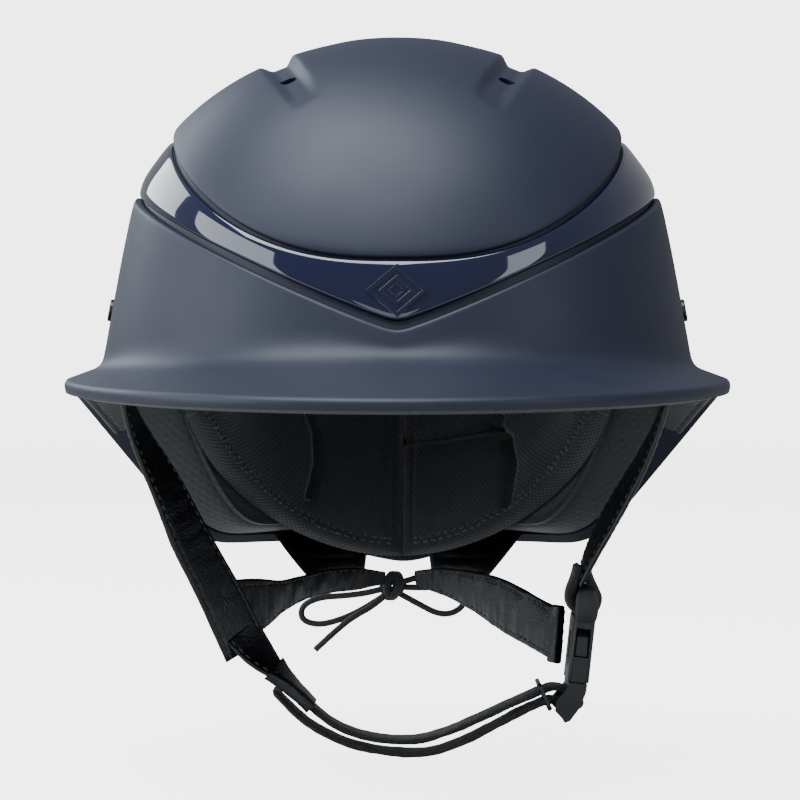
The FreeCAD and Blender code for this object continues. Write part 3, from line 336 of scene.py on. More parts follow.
def make(name, grids, materials, loose=(), sharp=40, weld=1e-6):
    """One mesh from grids of (points in mm, texture places, material number), welded together.

    loose holds more (points, faces, material number) that aren't grids.
    """
    points, faces, places, numbers = [], [], [], []
    start = 0
    for grid, uv, number in grids:
        rows, cols = grid.shape[:2]
        index = start + np.arange(rows * cols).reshape(rows, cols)
        quads = np.stack([index[:-1, :-1], index[:-1, 1:], index[1:, 1:], index[1:, :-1]], -1)
        points.append(grid.reshape(-1, 3))
        places.append((flat_uv(grid) if uv is None else uv).reshape(-1, 2))
        faces += quads.reshape(-1, 4).tolist()
        numbers += [number] * ((rows - 1) * (cols - 1))
        start += rows * cols
    for extra, sides, number in loose:
        extra = np.asarray(extra, float)
        points.append(extra)
        places.append(extra[:, :2] * MM)
        faces += [[start + i for i in side] for side in sides]
        numbers += [number] * len(sides)
        start += len(extra)
    mesh = bpy.data.meshes.new(name)
    mesh.from_pydata((np.concatenate(points) * MM).tolist(), [], faces)
    places = np.concatenate(places)
    layer = mesh.uv_layers.new(name="UVMap")
    corner = np.zeros(len(mesh.loops), int)
    mesh.loops.foreach_get("vertex_index", corner)
    layer.data.foreach_set("uv", places[corner].astype(np.float32).ravel())
    mesh.polygons.foreach_set("material_index", numbers)
    form = bmesh.new()
    form.from_mesh(mesh)
    bmesh.ops.remove_doubles(form, verts=form.verts, dist=weld)
    bmesh.ops.dissolve_degenerate(form, edges=form.edges, dist=1e-8)
    bmesh.ops.recalc_face_normals(form, faces=form.faces)
    form.to_mesh(mesh)
    form.free()
    mesh.shade_smooth()
    mesh.set_sharp_from_angle(angle=radians(sharp))
    for look in materials:
        mesh.materials.append(look.material)
    return add(name, mesh)


def keep(piece, body, slot, *nodes):
    """Puts a finished piece on its body, in place of its CAD nodes."""
    if body:
        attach(piece, body)
    if nodes:
        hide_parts(*nodes)
    return piece


# ---- the helmet's own form
HALF_WIDTH = 106.5
HALF_LENGTH = 127.0
CROWN_HEIGHT = 130.2
SHELL_WALL = 5.2
WALL_FOOT = 12.7
WALL_TAPER = 0.0017
NAPE_TUCK = 0.08
BOXINESS = 0.02
DOME_BASE = 40.0
LIP_ROUND_FROM = 66.0
LIP_ROUND = 0.0003
LIP_STEP = 2.2
LIP_SET_BACK = 1.4
RIM_EDGE = 1.6
PEAK_EDGE = 4.0
PEAK_FRONT = 48.0
PEAK_SIDE = 12.5
RIM_REAR_Z = -55.0
GROOVE_FLOOR = 2.15
ROUND = 64
_turn = 2 * pi * np.arange(ROUND) / ROUND
PHIS = _turn - 0.45 * np.sin(_turn)


def smooth(t):
    t = np.clip(t, 0.0, 1.0)
    return t * t * (3 - 2 * t)


def mix(a, b, t):
    return a + (b - a) * t


def around_of(phi):
    return np.abs(np.arctan2(np.sin(phi), np.cos(phi)))


def on_plan(phi, ratio, z):
    boxy = 1 + BOXINESS * np.sin(2 * phi) ** 2
    x = HALF_WIDTH * ratio * boxy * np.sin(phi)
    y = -HALF_LENGTH * ratio * boxy * np.cos(phi)
    return np.stack(np.broadcast_arrays(x, y, z), -1).astype(float)


def band_low(phi):
    around = around_of(phi)
    rise = 50.5 * np.sin(np.minimum(0.9 * around, pi / 2)) ** 1.1
    return 25.0 + rise - 15.0 * smooth((around - radians(100)) / radians(80))


def band_high(phi):
    around = around_of(phi)
    rise = (96.3 - 45.4) * smooth(0.5 * np.sin(np.minimum(around, pi / 2)) ** 1.4
                                  + 0.5 * np.clip(around / radians(97), 0, 1) ** 1.4)
    return 45.4 + rise - 15.0 * smooth((around - radians(100)) / radians(80))


def side_share(phi):
    return np.sin(phi) ** 2


def lip_z(phi):
    return band_low(phi) - mix(3.0, 1.0, side_share(phi))


def crown_z(phi):
    return band_high(phi) + mix(0.7, 2.8, side_share(phi))


def band_inset(phi):
    return mix(0.8, 2.0, side_share(phi))


def wall_ratio(z):
    tuck = 1 - NAPE_TUCK * (np.maximum(WALL_FOOT - z, 0) / (WALL_FOOT - RIM_REAR_Z)) ** 1.5
    return np.where(z < WALL_FOOT, tuck, 1 - WALL_TAPER * (z - WALL_FOOT))


def dome_shape(phi):
    """The dome's foot, the power of its curve and its share of the plan at one angle."""
    side = side_share(phi)
    return DOME_BASE * side, 2.2 - 0.15 * side, 0.985 - 0.016 * side


def dome(phi, tau):
    base, power, wide = dome_shape(phi)
    z = base + (CROWN_HEIGHT - base) * np.sin(tau) ** (2 / power)
    return on_plan(phi, wide * np.cos(tau) ** (2 / power), z)


def dome_tau(phi, z):
    base, power, _ = dome_shape(phi)
    height = np.clip((z - base) / (CROWN_HEIGHT - base), 0, 1)
    return np.arcsin(height ** (power / 2))


def body(phi, z):
    """The shell's outside without its groove: the wall, which turns into the dome."""
    low = band_low(phi)
    share = smooth((z - low) / (0.7 * (band_high(phi) - low)))
    base, power, wide = dome_shape(phi)
    height = np.clip((z - base) / (CROWN_HEIGHT - base), 0, 1)
    crown = wide * (1 - height ** power) ** (1 / power)
    return on_plan(phi, np.where(share > 0, mix(wall_ratio(z), crown, share), wall_ratio(z)), z)


def lip_wall(phi, z):
    return on_plan(phi, wall_ratio(z) - LIP_ROUND * np.maximum(0, z - LIP_ROUND_FROM) ** 2, z)


def normal(surface, phi, v):
    step = 0.001
    out = np.cross(surface(phi + step, v) - surface(phi - step, v),
                   surface(phi, v + step) - surface(phi, v - step))
    return out / np.linalg.norm(out, axis=-1, keepdims=True)


def out_of(surface, phi, v, distance):
    """Points of the surface, moved outwards by distance."""
    move = np.asarray(distance, float)
    return surface(phi, v) + normal(surface, phi, v) * (move[..., None] if move.ndim else move)


def dome_rows(start, distance):
    rows = []
    for j in range(8):
        tau = mix(dome_tau(PHIS, start(PHIS)), pi / 2, j / 8)
        rows.append(out_of(dome, PHIS, tau, distance))
    rows[-1][:, 2] = CROWN_HEIGHT + distance
    return rows + [np.tile([0.0, 0.0, CROWN_HEIGHT + distance], (ROUND, 1))]


def wall_rows(low, high, distance, count=12):
    return [out_of(body, PHIS, mix(low(PHIS), high(PHIS), j / (count - 1)), distance)
            for j in range(count)]


def lining_rows(low, depth):
    return wall_rows(low, crown_z, -depth)[:-1] + dome_rows(crown_z, -depth)


def peak_reach(phi):
    around = around_of(phi)
    side = PEAK_SIDE * (1 - smooth((around - pi / 2) / (radians(123) - pi / 2)))
    front = np.where(around < pi / 2, PEAK_FRONT, side)
    return np.stack([side * np.sin(phi), -front * np.cos(phi), 0 * phi], -1)


def reach_of(phi):
    return np.linalg.norm(peak_reach(phi), axis=-1)


def edge_z(phi):
    around = around_of(phi)
    front = 0.6 + 7.9 * (1 - np.cos(np.minimum(around, pi / 2)))
    return mix(front, RIM_REAR_Z, smooth((around - radians(88)) / (radians(134) - radians(88))))


def edge(phi):
    z = edge_z(phi)
    return on_plan(phi, wall_ratio(z), z) + peak_reach(phi)


def inner_z(phi):
    return edge_z(phi) + 0.4 + 0.15 * reach_of(phi)


def edge_under(phi):
    peak = np.clip(reach_of(phi) / PEAK_SIDE, 0, 1)
    inwards = np.stack([-np.sin(phi), np.cos(phi), 0 * phi], -1) * (2.0 * (1 - peak))[..., None]
    drop = mix(RIM_EDGE, PEAK_EDGE, peak)
    return edge(phi) + inwards - np.stack([0 * phi, 0 * phi, drop], -1)


def lower_rows():
    lip = lip_z(PHIS)
    foot = edge_z(PHIS) + 2.0 + 0.2 * reach_of(PHIS)
    fillet = np.minimum(mix(15.0, 6.0, side_share(PHIS)), 0.85 * (lip - LIP_STEP - foot))
    reach = peak_reach(PHIS)
    corner = on_plan(PHIS, wall_ratio(foot), foot)
    tip, under = edge(PHIS), edge_under(PHIS)
    middle = (tip + under) / 2 + reach * (0.8 / np.maximum(reach_of(PHIS), 8.0))[:, None]
    rows = [out_of(body, PHIS, lip, -band_inset(PHIS) - GROOVE_FLOOR),
            out_of(body, PHIS, lip, -LIP_SET_BACK), lip_wall(PHIS, lip)]
    rows += [lip_wall(PHIS, mix(lip - LIP_STEP, foot + fillet, s)) for s in (0, 0.33, 0.66, 1)]
    rows += [corner] + [corner + (tip - corner) * s for s in (0.36, 0.66, 0.93)]
    return rows + [tip, middle, under]


# ---- shell
VENT_PATH = [(27.0, -88.0, -0.6), (31.0, -78.0, 0.3), (38.0, -58.0, 0.9), (42.0, -35.0, 1.0),
             (44.0, -8.0, 1.0), (45.0, 18.0, 0.9), (46.0, 44.0, 0.5), (45.0, 72.0, -0.6)]
VENT_DEPTH = 3.3
VENT_HOLES = [(38.5, -57.0), (45.5, 30.0)]
VENT_RADIUS = 3.0
AROUND = 448


def crown_spot(x, y):
    """The crown point above (x, y), and the outward normal there."""
    phi = np.array(atan2(x / HALF_WIDTH, -y / HALF_LENGTH))
    boxy = 1 + BOXINESS * sin(2 * phi) ** 2
    ratio = hypot(x / HALF_WIDTH, y / HALF_LENGTH) / boxy
    _, power, wide = dome_shape(phi)
    tau = np.arccos(np.clip((ratio / wide) ** (power / 2), 0, 1))
    return dome(phi, tau), normal(dome, phi, tau)


def sink_channels(grid):
    """Presses the two air channels into the crown's points."""
    line = basis(len(VENT_PATH), np.linspace(0, 1, 160)) @ np.array(VENT_PATH)
    flat = np.stack([np.abs(grid[..., 0]), grid[..., 1]], -1).reshape(-1, 1, 2)
    nearest = np.full(len(flat), 1e9)
    depth = np.zeros(len(flat))
    for chunk in np.array_split(np.arange(len(flat)), 40):
        far = np.linalg.norm(flat[chunk] - line[:, :2], axis=-1)
        best = far.argmin(1)
        nearest[chunk] = far.min(1)
        depth[chunk] = np.clip(line[best, 2], 0, 1)
    share = 1 - smooth((nearest - 2.0) / 4.4)
    sink = (share * depth * VENT_DEPTH).reshape(grid.shape[:2])
    return grid - out_normals(grid) * sink[..., None]


def make_shell(looks):
    groove = -band_inset(PHIS) - GROOVE_FLOOR
    floor_top = out_of(body, PHIS, crown_z(PHIS), groove)
    rounding = out_of(dome, PHIS, dome_tau(PHIS, crown_z(PHIS)), -1.0)
    crown = ring_surface([floor_top, rounding] + dome_rows(crown_z, 0.0), AROUND, 120)
    crown[40:] = sink_channels(crown)[40:]
    floor = ring_surface([out_of(body, PHIS, mix(lip_z(PHIS), crown_z(PHIS), s), groove)
                          for s in (0, 0.33, 0.66, 1)], AROUND, 6)
    rows = lower_rows()
    lower = ring_surface(rows, AROUND, 90)
    inner_rows = lining_rows(inner_z, SHELL_WALL)
    inner = ring_surface(inner_rows, AROUND, 60)
    under = ring_surface([rows[-1], inner_rows[0]], AROUND, 6)
    shell = make("shell", [(g, None, 0) for g in (crown, floor, lower, under, inner)],
                 [looks["shell"]], sharp=50, weld=2e-5)
    return drilled(shell)


def drilled(shell):
    """Opens the four air holes through the channels' floors."""
    form = bmesh.new()
    for side in (-1, 1):
        for x, y in VENT_HOLES:
            point, out = crown_spot(side * x, y)
            turn = Vector(out).to_track_quat("Z", "Y").to_matrix().to_4x4()
            turn.translation = Vector(point - out * 2.0) * MM
            bmesh.ops.create_cone(form, cap_ends=True, segments=40, radius1=VENT_RADIUS * MM,
                                  radius2=VENT_RADIUS * MM, depth=24 * MM, matrix=turn)
    mesh = bpy.data.meshes.new("drill")
    form.to_mesh(mesh)
    form.free()
    drill = add("drill", mesh)
    cut = shell.modifiers.new("holes", "BOOLEAN")
    cut.object = drill
    cut.solver = "EXACT"
    settle(shell)
    bpy.data.objects.remove(drill)
    shell.data.set_sharp_from_angle(angle=radians(50))
    return shell


def settle(piece):
    """Turns a piece's modifiers into its mesh."""
    graph = bpy.context.evaluated_depsgraph_get()
    done = bpy.data.meshes.new_from_object(piece.evaluated_get(graph))
    piece.modifiers.clear()
    piece.data = done


# ---- halo band
def make_band(looks):
    low, high, inset = band_low(PHIS), band_high(PHIS), band_inset(PHIS)
    back = -inset - 2.0
    outer = [out_of(body, PHIS, low, back), out_of(body, PHIS, low, -inset - 0.5)]
    outer += [out_of(body, PHIS, z, -inset) for z in (low + 1.4, mix(low, high, 0.35),
                                                      mix(low, high, 0.65), high - 1.4)]
    outer += [out_of(body, PHIS, high, -inset - 0.5), out_of(body, PHIS, high, back)]
    inner = [out_of(body, PHIS, mix(high, low, j / 3), back) for j in range(4)]
    grids = [ring_surface(outer, AROUND, 64), ring_surface(inner, AROUND, 4)]
    return make("halo_trim", [(g, None, 0) for g in grids], [looks["halo"]], sharp=60, weld=2e-5)


# ---- liner cover and peak lining
COVER_DEPTHS = (24.9, 23.8)
COVER_THICK = 1.1
COVER_TOP = 62.0
COVER_GAP = 0.125
FOAM_OUT = 5.45


def window(value, low, high, soft):
    return smooth((value - low + soft) / soft) * smooth((high + soft - value) / soft)


def make_cover(looks):
    def under(phi):
        return inner_z(phi) + COVER_GAP

    def over(phi):
        return under(phi) + COVER_THICK

    def top(phi):
        return COVER_TOP + 0 * phi

    around = np.degrees(around_of(PHIS))
    notch = 6.0 * np.maximum(window(around, 75, 89, 3), window(around, 147, 175, 3))
    skin = wall_rows(under, top, -COVER_DEPTHS[0])
    back = wall_rows(over, top, -COVER_DEPTHS[1])
    flange_low = out_of(body, PHIS, under(PHIS), -FOAM_OUT - notch)
    flange_high = out_of(body, PHIS, over(PHIS), -FOAM_OUT - notch)
    lip = mix(flange_low, skin[0], 0.94)
    rows = [flange_high, flange_low, mix(flange_low, skin[0], 0.5), lip, skin[1]] + skin[2:]
    face = ring_surface(rows, AROUND, 110)
    rest = ring_surface([skin[-1], back[-1]], AROUND, 2)
    behind = ring_surface(back, AROUND, 20)
    closing = ring_surface([back[0], flange_high], AROUND, 4)
    return make("liner_skin", [(g, None, 0) for g in (face, rest, behind, closing)],
                [looks["cover"]], sharp=60, weld=2e-5)


SEAMS = (2.6, 13.0, 25.0)


def lining_grid(columns):
    phi = np.linspace(-radians(104), radians(104), 15)
    tip = edge_under(phi)
    root = out_of(body, phi, inner_z(phi), -SHELL_WALL + 1.1)
    inwards = root - tip
    inwards /= np.linalg.norm(inwards, axis=-1, keepdims=True)
    under = np.cross(inwards, np.stack([np.cos(phi), np.sin(phi), 0 * phi], -1))
    under *= -np.sign(under[:, 2:])
    start = tip + inwards * 2.2
    rows = np.stack([start + (root - start) * s for s in (0, 0.5, 1)])
    place = basis(15, np.linspace(0, 1, columns))
    return place @ rows, place @ under


def make_peak_lining(looks):
    """Quilted panel under the peak, sewn along its edge."""
    columns, down = 520, 40
    rows, under = lining_grid(columns)
    share = np.linspace(0, 1, down)
    grid = (rows[0] * (1 - share)[:, None, None] + rows[2] * share[:, None, None])
    reach = np.linalg.norm(rows[2] - rows[0], axis=-1)
    inside = share[:, None] * reach
    along = lengths(grid[0])[None, :]
    edge = np.minimum(np.minimum(inside, reach - inside), 30)
    thick = 1.5 * np.sqrt(np.clip(edge / 0.7, 0, 1))
    seam = np.exp(-((inside - SEAMS[0]) / 0.55) ** 2)
    rows_sewn = sum(np.exp(-((inside - line) / 0.7) ** 2) for line in SEAMS[1:])
    puff = 0.25 * np.abs(np.sin(along / 3.4))
    thick = thick - 0.45 * np.clip(seam + rows_sewn, 0, 1) * (edge > 0.5) - puff * seam
    upper = grid + under * 0.5
    lower = grid + under * (0.5 + np.maximum(thick, 0.02))[..., None]
    stitches = []
    out = grid_normals(lower)
    out *= np.sign((out * under).sum(-1, keepdims=True))
    for line in SEAMS:
        stitches += seam_stitches(lower, out, inside, along[0], line, 3.4)
    return make("peak_underside", [(upper[::4, ::4], None, 0), (lower, None, 0)],
                [looks["binding"], looks["thread"]], loose=stitches, sharp=60)


def seam_stitches(face, out, inside, along, line, pitch):
    """Stitches on a face, along the line that lies that far in from its first row."""
    made = []
    for place in np.arange(2.0, along[-1] - 2.0, pitch):
        column = int(np.searchsorted(along, place))
        if inside[-1, column] < line + 1.5:
            continue
        row = int(np.searchsorted(inside[:, column], line))
        ahead = face[row, min(column + 2, face.shape[1] - 1)] - face[row, column - 2]
        made.append(stitch(face[row, column] + out[row, column] * 0.12, ahead, out[row, column],
                           pitch * 0.72, 0.34))
    return made


# ---- stitches and straps
def stitch(centre, along, out, length, radius):
    """One sewn thread that lies on a surface: (points, faces, material number)."""
    along = along / np.linalg.norm(along)
    across = np.cross(out, along)
    across /= np.linalg.norm(across)
    up = np.cross(along, across)
    points, faces = [], []
    stops = ((-0.5, 0.25, -0.8), (-0.3, 0.85, 0.1), (0.0, 1.0, 0.35), (0.3, 0.85, 0.1),
             (0.5, 0.25, -0.8))
    for place, wide, high in stops:
        for k in range(6):
            angle = k * pi / 3
            points.append(centre + along * place * length
                          + across * cos(angle) * radius * wide
                          + up * radius * (high + sin(angle) * wide))
    for ring in range(len(stops) - 1):
        for k in range(6):
            a, b = ring * 6 + k, ring * 6 + (k + 1) % 6
            faces.append([a, b, b + 6, a + 6])
    faces += [[5, 4, 3, 2, 1, 0], [24, 25, 26, 27, 28, 29]]
    return points, faces, 1


def ripple(x, y, seed, waves=9):
    """Smooth unevenness from -1 to 1 over two coordinates."""
    draw = np.random.default_rng(seed)
    total = 0 * (x + y)
    for _ in range(waves):
        a, b, phase = draw.normal(), draw.normal(), draw.uniform(0, 2 * pi)
        total = total + np.sin(a * x + b * y + phase)
    return total / waves ** 0.5 / 1.4


class Strip:
    """A strap: its middle line and frame at even stops along it, in mm."""

    def __init__(self, stations, wide, thick, samples):
        points = np.array([p for p, _ in stations], float)
        across = np.array([a for _, a in stations], float)
        along = np.empty_like(points)
        along[1:-1] = points[2:] - points[:-2]
        along[0], along[-1] = points[1] - points[0], points[-1] - points[-2]
        along /= np.linalg.norm(along, axis=1, keepdims=True)
        across -= along * (along * across).sum(1, keepdims=True)
        across /= np.linalg.norm(across, axis=1, keepdims=True)
        place = basis(len(points), np.linspace(0, 1, samples))
        self.middle = place @ points
        self.across = place @ across
        self.up = place @ np.cross(along, across)
        self.across /= np.linalg.norm(self.across, axis=1, keepdims=True)
        self.up /= np.linalg.norm(self.up, axis=1, keepdims=True)
        widths = np.broadcast_to(np.asarray(wide, float), len(points))
        self.half = place @ widths / 2
        self.thick = thick / 2
        self.run = lengths(self.middle)

    def at(self, u, v):
        """Points at share u of the half width and v of the half thickness."""
        return (self.middle + self.across * (u * self.half)[:, None]
                + self.up * (v * self.thick)[:, None])

    def surface(self, seed=0, groove=0.25, groove_at=0.8, crown=0.2, wrinkle=0.16, cells=33):
        """The closed surface, as a grid with its first column repeated."""
        s = np.sin(np.linspace(-1, 1, cells) * pi / 2)
        edge = (1 - np.abs(s) ** 14) ** 0.5
        top = edge * (1 + crown * (1 - s ** 2)
                      - groove * np.exp(-((np.abs(s) - groove_at) / 0.05) ** 2))
        u = np.r_[s, s[-2::-1]]
        v = np.r_[top, -top[-2::-1]]
        run = self.run[:, None]
        fold = ripple(run * 0.35, u[None, :] * 1.3, seed) * wrinkle
        fine = ripple(run * 1.1, u[None, :] * 2.1, seed + 1) * wrinkle * 0.45
        sway = ripple(run[:, 0] * 0.12, 0 * run[:, 0], seed + 2) * wrinkle * 1.2
        height = v[None, :] * self.thick + (fold + fine) * np.sign(v)[None, :] * np.abs(v) ** 0.5
        ends = np.minimum(run, run[-1] - run)
        height = height * np.clip(ends / 0.6, 0.0, 1.0) ** 0.5
        reach = u[None, :] * (self.half + sway)[:, None]
        return (self.middle[:, None] + self.across[:, None] * reach[..., None]
                + self.up[:, None] * height[..., None])

    def uv(self, grid):
        """Places along (x) and across (y) the strap, in metres."""
        cols = grid.shape[1]
        side = np.linspace(0, 4, cols)[None, :] * self.half[:, None]
        return np.stack([np.broadcast_to(self.run[:, None], side.shape), side], -1) * MM

    def stitches(self, pitch=3.6, at=0.8, faces=(1, -1), sides=(1, -1), start=2.5, stop=2.5):
        made = []
        for place in np.arange(start, self.run[-1] - stop, pitch):
            k = int(np.searchsorted(self.run, place))
            k = min(max(k, 1), len(self.run) - 2)
            along = self.middle[k + 1] - self.middle[k - 1]
            for face in faces:
                for side in sides:
                    centre = (self.middle[k] + self.across[k] * side * at * self.half[k]
                              + self.up[k] * face * self.thick * 0.88)
                    made.append(stitch(centre, along, self.up[k] * face, pitch * 0.66, 0.34))
        return made


def make_strap(name, strip, look, looks, sewn=True, seed=0, **shape):
    grid = strip.surface(seed=seed, **shape)
    loose = strip.stitches() if sewn else []
    return make(name, [(grid, strip.uv(grid), 0)], [looks[look], looks["thread"]], loose, sharp=70)


STRAP_WIDE = 20.0
STRAP_THICK = 2.2
STRAP_DEPTH = SHELL_WALL + 0.8 + STRAP_THICK / 2
PIVOT_LEFT = Vector((-55.0, 9.0, -90.0))
PIVOT_RIGHT = Vector((67.0, 9.0, -64.0))
CHIN_Y = 9.0
CHIN_WIDE = 17.0
CHIN_THICK = 2.0
LOOP_WIDE = 18.5
LOOP_THICK = 2.9


def anchored(phi, top, bottom):
    """Stations of a strap that lies against the shell's inside at one angle."""
    step = body(np.array(phi + 0.01), top) - body(np.array(phi - 0.01), top)
    across = step / np.linalg.norm(step) * (1 if phi > 0 else -1)
    return [(tuple(out_of(body, np.array(phi), z, -STRAP_DEPTH)), tuple(across))
            for z in (top, (top + bottom) / 2, bottom)]


LEFT_FRONT = anchored(-radians(82), 43.0, 9.0) + [
    ((-97.2, -14, -3), (0.1, 0.99, 0)), ((-90.5, -10, -18), (0.3, 0.94, 0.1)),
    ((-82.5, -6, -33), (0.48, 0.85, 0.2)), ((-77.2, -2, -47), (0.56, 0.8, 0.2)),
    ((-69.5, 3, -62), (0.62, 0.74, 0.22)), ((-62, 7, -77), (0.7, 0.66, 0.25)),
    ((-55.5, 9, -92), (0.74, 0.62, 0.25))]
RIGHT_FRONT = anchored(radians(82), 43.0, 9.0) + [
    ((96.3, -14, -3), (0.05, 0.99, 0)), ((89.6, -9, -20), (-0.08, 0.99, 0.05)),
    ((83, -4, -32), (-0.18, 0.97, 0.08)), ((76.6, 1, -44), (-0.2, 0.97, 0.1)),
    ((70.5, 6, -56), (-0.15, 0.99, 0)), ((67, 9, -66), (0, 1, 0))]
LEFT_REAR = [
    ((-5, 98.5, -71), (0.4, 0, 1)), ((-15, 93, -71), (0.3, 0, 1)),
    ((-26.6, 80, -70.7), (0.1, 0, 1)),
    ((-35.4, 62, -72), (0, 0, 1)), ((-42.8, 45, -74), (0, 0, 1)),
    ((-49.5, 30, -76), (0, 0.1, 1)), ((-55, 20, -77), (0.1, 0.1, 1)),
    ((-60.5, 14.5, -77.5), (0.1, 0.1, 1))]
RIGHT_REAR = [
    ((7, 98.5, -71), (-0.4, 0, 1)), ((14.5, 93, -71.5), (-0.3, 0, 1)),
    ((23, 82, -72.5), (-0.2, 0, 1)),
    ((33, 66, -75.5), (-0.1, 0, 1)), ((42, 48, -79), (0, 0, 1)),
    ((50.5, 31, -83), (0, 0, 1)), ((58.4, 16, -86.5), (0, 0.1, 1))]
REAR_WIDE = {"left": [5, 9, 10, 9, 11, 18, 22, 22], "right": [5, 9, 13, 18, 20, 20, 20]}
LINK = [((-57.8, 8.6, -84), (0.74, 0.62, 0.25)), ((-52, 9, -92), (0.62, 0.74, 0.2)),
        ((-45.5, 9, -98.4), (0.3, 0.95, 0.1)), ((-39.5, 9, -104.2), (0, 1, 0)),
        ((-34, 9, -109.8), (0, 1, 0))]
SLEEVE = LINK[2:] + [((-31.5, 9, -112.2), (0, 1, 0))]
CHIN_LINE = [
    (-36.5, -107.2), (-34, -109.8), (-28, -115.6), (-20, -120.8), (-10, -123.8), (1, -124.8),
    (8, -124.4), (15, -122.7), (22, -120.0), (30, -116.4), (37.5, -112.9), (45, -109.6),
    (52, -106.5), (57, -104.7), (61, -105.6), (64.8, -107.6), (67.4, -110.0), (66.0, -112.3),
    (61.6, -112.0), (57, -109.1), (52, -110.9), (45, -114.0), (37.5, -118.0), (30, -122.2),
    (22, -125.9), (15, -128.3), (8, -129.4), (1, -129.4), (-10, -128.0), (-20, -125.2),
    (-28, -121.4), (-35, -116.8), (-40.5, -111.6), (-45.5, -105.8)]
LOOP_LINE = [(66.4, -60.0), (65.6, -65.0), (62.9, -69.5), (62.6, -73.4), (65.0, -77.0),
             (68.4, -77.9), (71.6, -76.6), (73.4, -73.2), (72.6, -69.4), (69.4, -65.0),
             (68.8, -60.0)]
EAR_AT = (68.7, -74.8)
EAR_HALF = (4.3, 6.9)


def level(points):
    return [((x, CHIN_Y, z), (0, 1, 0)) for x, z in points]


def bend_at(piece):
    """Bakes a strap's placement into its mesh."""
    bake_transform(piece)


def make_harness(looks):
    for side, line, pivot, samples, seed in (("left", LEFT_FRONT, PIVOT_LEFT, 200, 3),
                                             ("right", RIGHT_FRONT, PIVOT_RIGHT, 180, 11)):
        strip = Strip(line, STRAP_WIDE, STRAP_THICK, samples)
        strap = make_strap(f"{side}_front_strap", strip, "leather", looks, seed=seed)
        keep(strap, None, "leather", f"front_strap_{side}")
        bend_at(strap)
    for side, line, seed in (("left", LEFT_REAR, 21), ("right", RIGHT_REAR, 31)):
        strip = Strip(line, REAR_WIDE[side], STRAP_THICK, 150)
        strap = make_strap(f"{side}_rear_strap", strip, "leather", looks, seed=seed, wrinkle=0.3)
        keep(strap, "helmet", "leather", f"rear_strap_{side}")
    link = make_strap("chin_link", Strip(LINK, CHIN_WIDE, CHIN_THICK, 90), "leather", looks, seed=41)
    keep(link, None, "leather")
    bend_at(link)
    loop = make_strap("buckle_loop", Strip(level(LOOP_LINE), LOOP_WIDE, LOOP_THICK, 150), "webbing",
                      looks, sewn=False, seed=51, groove=0, wrinkle=0.2)
    keep(loop, None, "webbing", "strap_loop_right")
    bend_at(loop)
    chin = make_strap("chin_webbing", Strip(level(CHIN_LINE), CHIN_WIDE, CHIN_THICK, 520), "webbing",
                      looks, sewn=False, seed=61, groove=0.2, groove_at=0.88, wrinkle=0.12)
    keep(chin, None, "webbing", "chin_strap", "chin_strap_end")
    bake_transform(chin)
    keep(make_sleeve(looks), "chin", "leather", "chin_strap_sleeve")
    keep(make_buckle_ears(looks), "chin", "buckle")
    keep(make_strap_end(looks), "helmet", "leather")


def make_buckle_ears(looks):
    """The rounded ends of the socket's top bar, one on each side of the webbing."""
    a = np.linspace(0, 2 * pi, 97)
    wide = np.sign(np.cos(a)) * np.abs(np.cos(a)) ** 0.62
    tall = np.sign(np.sin(a)) * np.abs(np.sin(a)) ** 0.62
    lean = 0.06
    form = []
    for outside, inside in ((-4.3, -1.4), (22.3, 19.4)):
        rings = []
        for y, size in ((outside, 0.05), (outside, 0.8), (mix(outside, inside, 0.25), 0.97),
                        (mix(outside, inside, 0.6), 1.0), (inside, 0.93), (inside, 0.05)):
            x = EAR_AT[0] + EAR_HALF[0] * size * wide
            z = EAR_AT[1] + EAR_HALF[1] * size * tall
            rings.append(np.stack([x + lean * (z - EAR_AT[1]), 0 * a + y, z], -1))
        form.append((np.array(rings), None, 0))
    return make("buckle_ears", form, [looks["plastic"]], sharp=50)


def make_strap_end(looks):
    """The bound end of the right rear strap, folded over its last few millimetres."""
    line = [((59.3, 15.6, -75.6), (0.66, -0.75, 0)), ((58.7, 15.8, -86.5), (0.66, -0.75, 0)),
            ((57.7, 16.4, -97.2), (0.66, -0.75, 0))]
    return make_strap("rear_strap_binding", Strip(line, 4.6, 3.6, 90), "leather", looks, seed=33)


def make_sleeve(looks):
    """A leather tube round the strap's end, open at both ends."""
    strip = Strip(SLEEVE, CHIN_WIDE, CHIN_THICK, 60)
    a = np.linspace(0, 2 * pi, 65)
    shapes = []
    for room in (1.45, 0.35):
        u = np.sign(np.cos(a)) * np.abs(np.cos(a)) ** 0.3 * (CHIN_WIDE / 2 + room)
        v = np.sign(np.sin(a)) * np.abs(np.sin(a)) ** 0.5 * (CHIN_THICK / 2 + room)
        shapes.append(strip.middle[:, None] + strip.across[:, None] * u[None, :, None]
                      + strip.up[:, None] * v[None, :, None])
    outer, inner = shapes
    outer = outer + strip.up[:, None] * (ripple(strip.run[:, None] * 0.5, a[None, :] * 1.5, 5)
                                         * 0.16)[..., None]
    grids = [outer, inner, np.stack([outer[0], inner[0]]), np.stack([outer[-1], inner[-1]])]
    flat = Strip(SLEEVE, CHIN_WIDE, 4.6, 60)
    return make("chin_sleeve", [(g, None, 0) for g in grids], [looks["leather"], looks["thread"]],
                flat.stitches(at=0.86, start=1.6, stop=1.2, pitch=2.8), sharp=60)


# ---- pads and tabs
def line_distance(x, z, line):
    """Distance in mm from points (x, z) to a line of points."""
    best = np.full(x.shape, 1e9)
    for (x0, z0), (x1, z1) in zip(line, line[1:]):
        dx, dz = x1 - x0, z1 - z0
        t = np.clip(((x - x0) * dx + (z - z0) * dz) / (dx * dx + dz * dz), 0, 1)
        best = np.minimum(best, np.hypot(x - x0 - t * dx, z - z0 - t * dz))
    return best


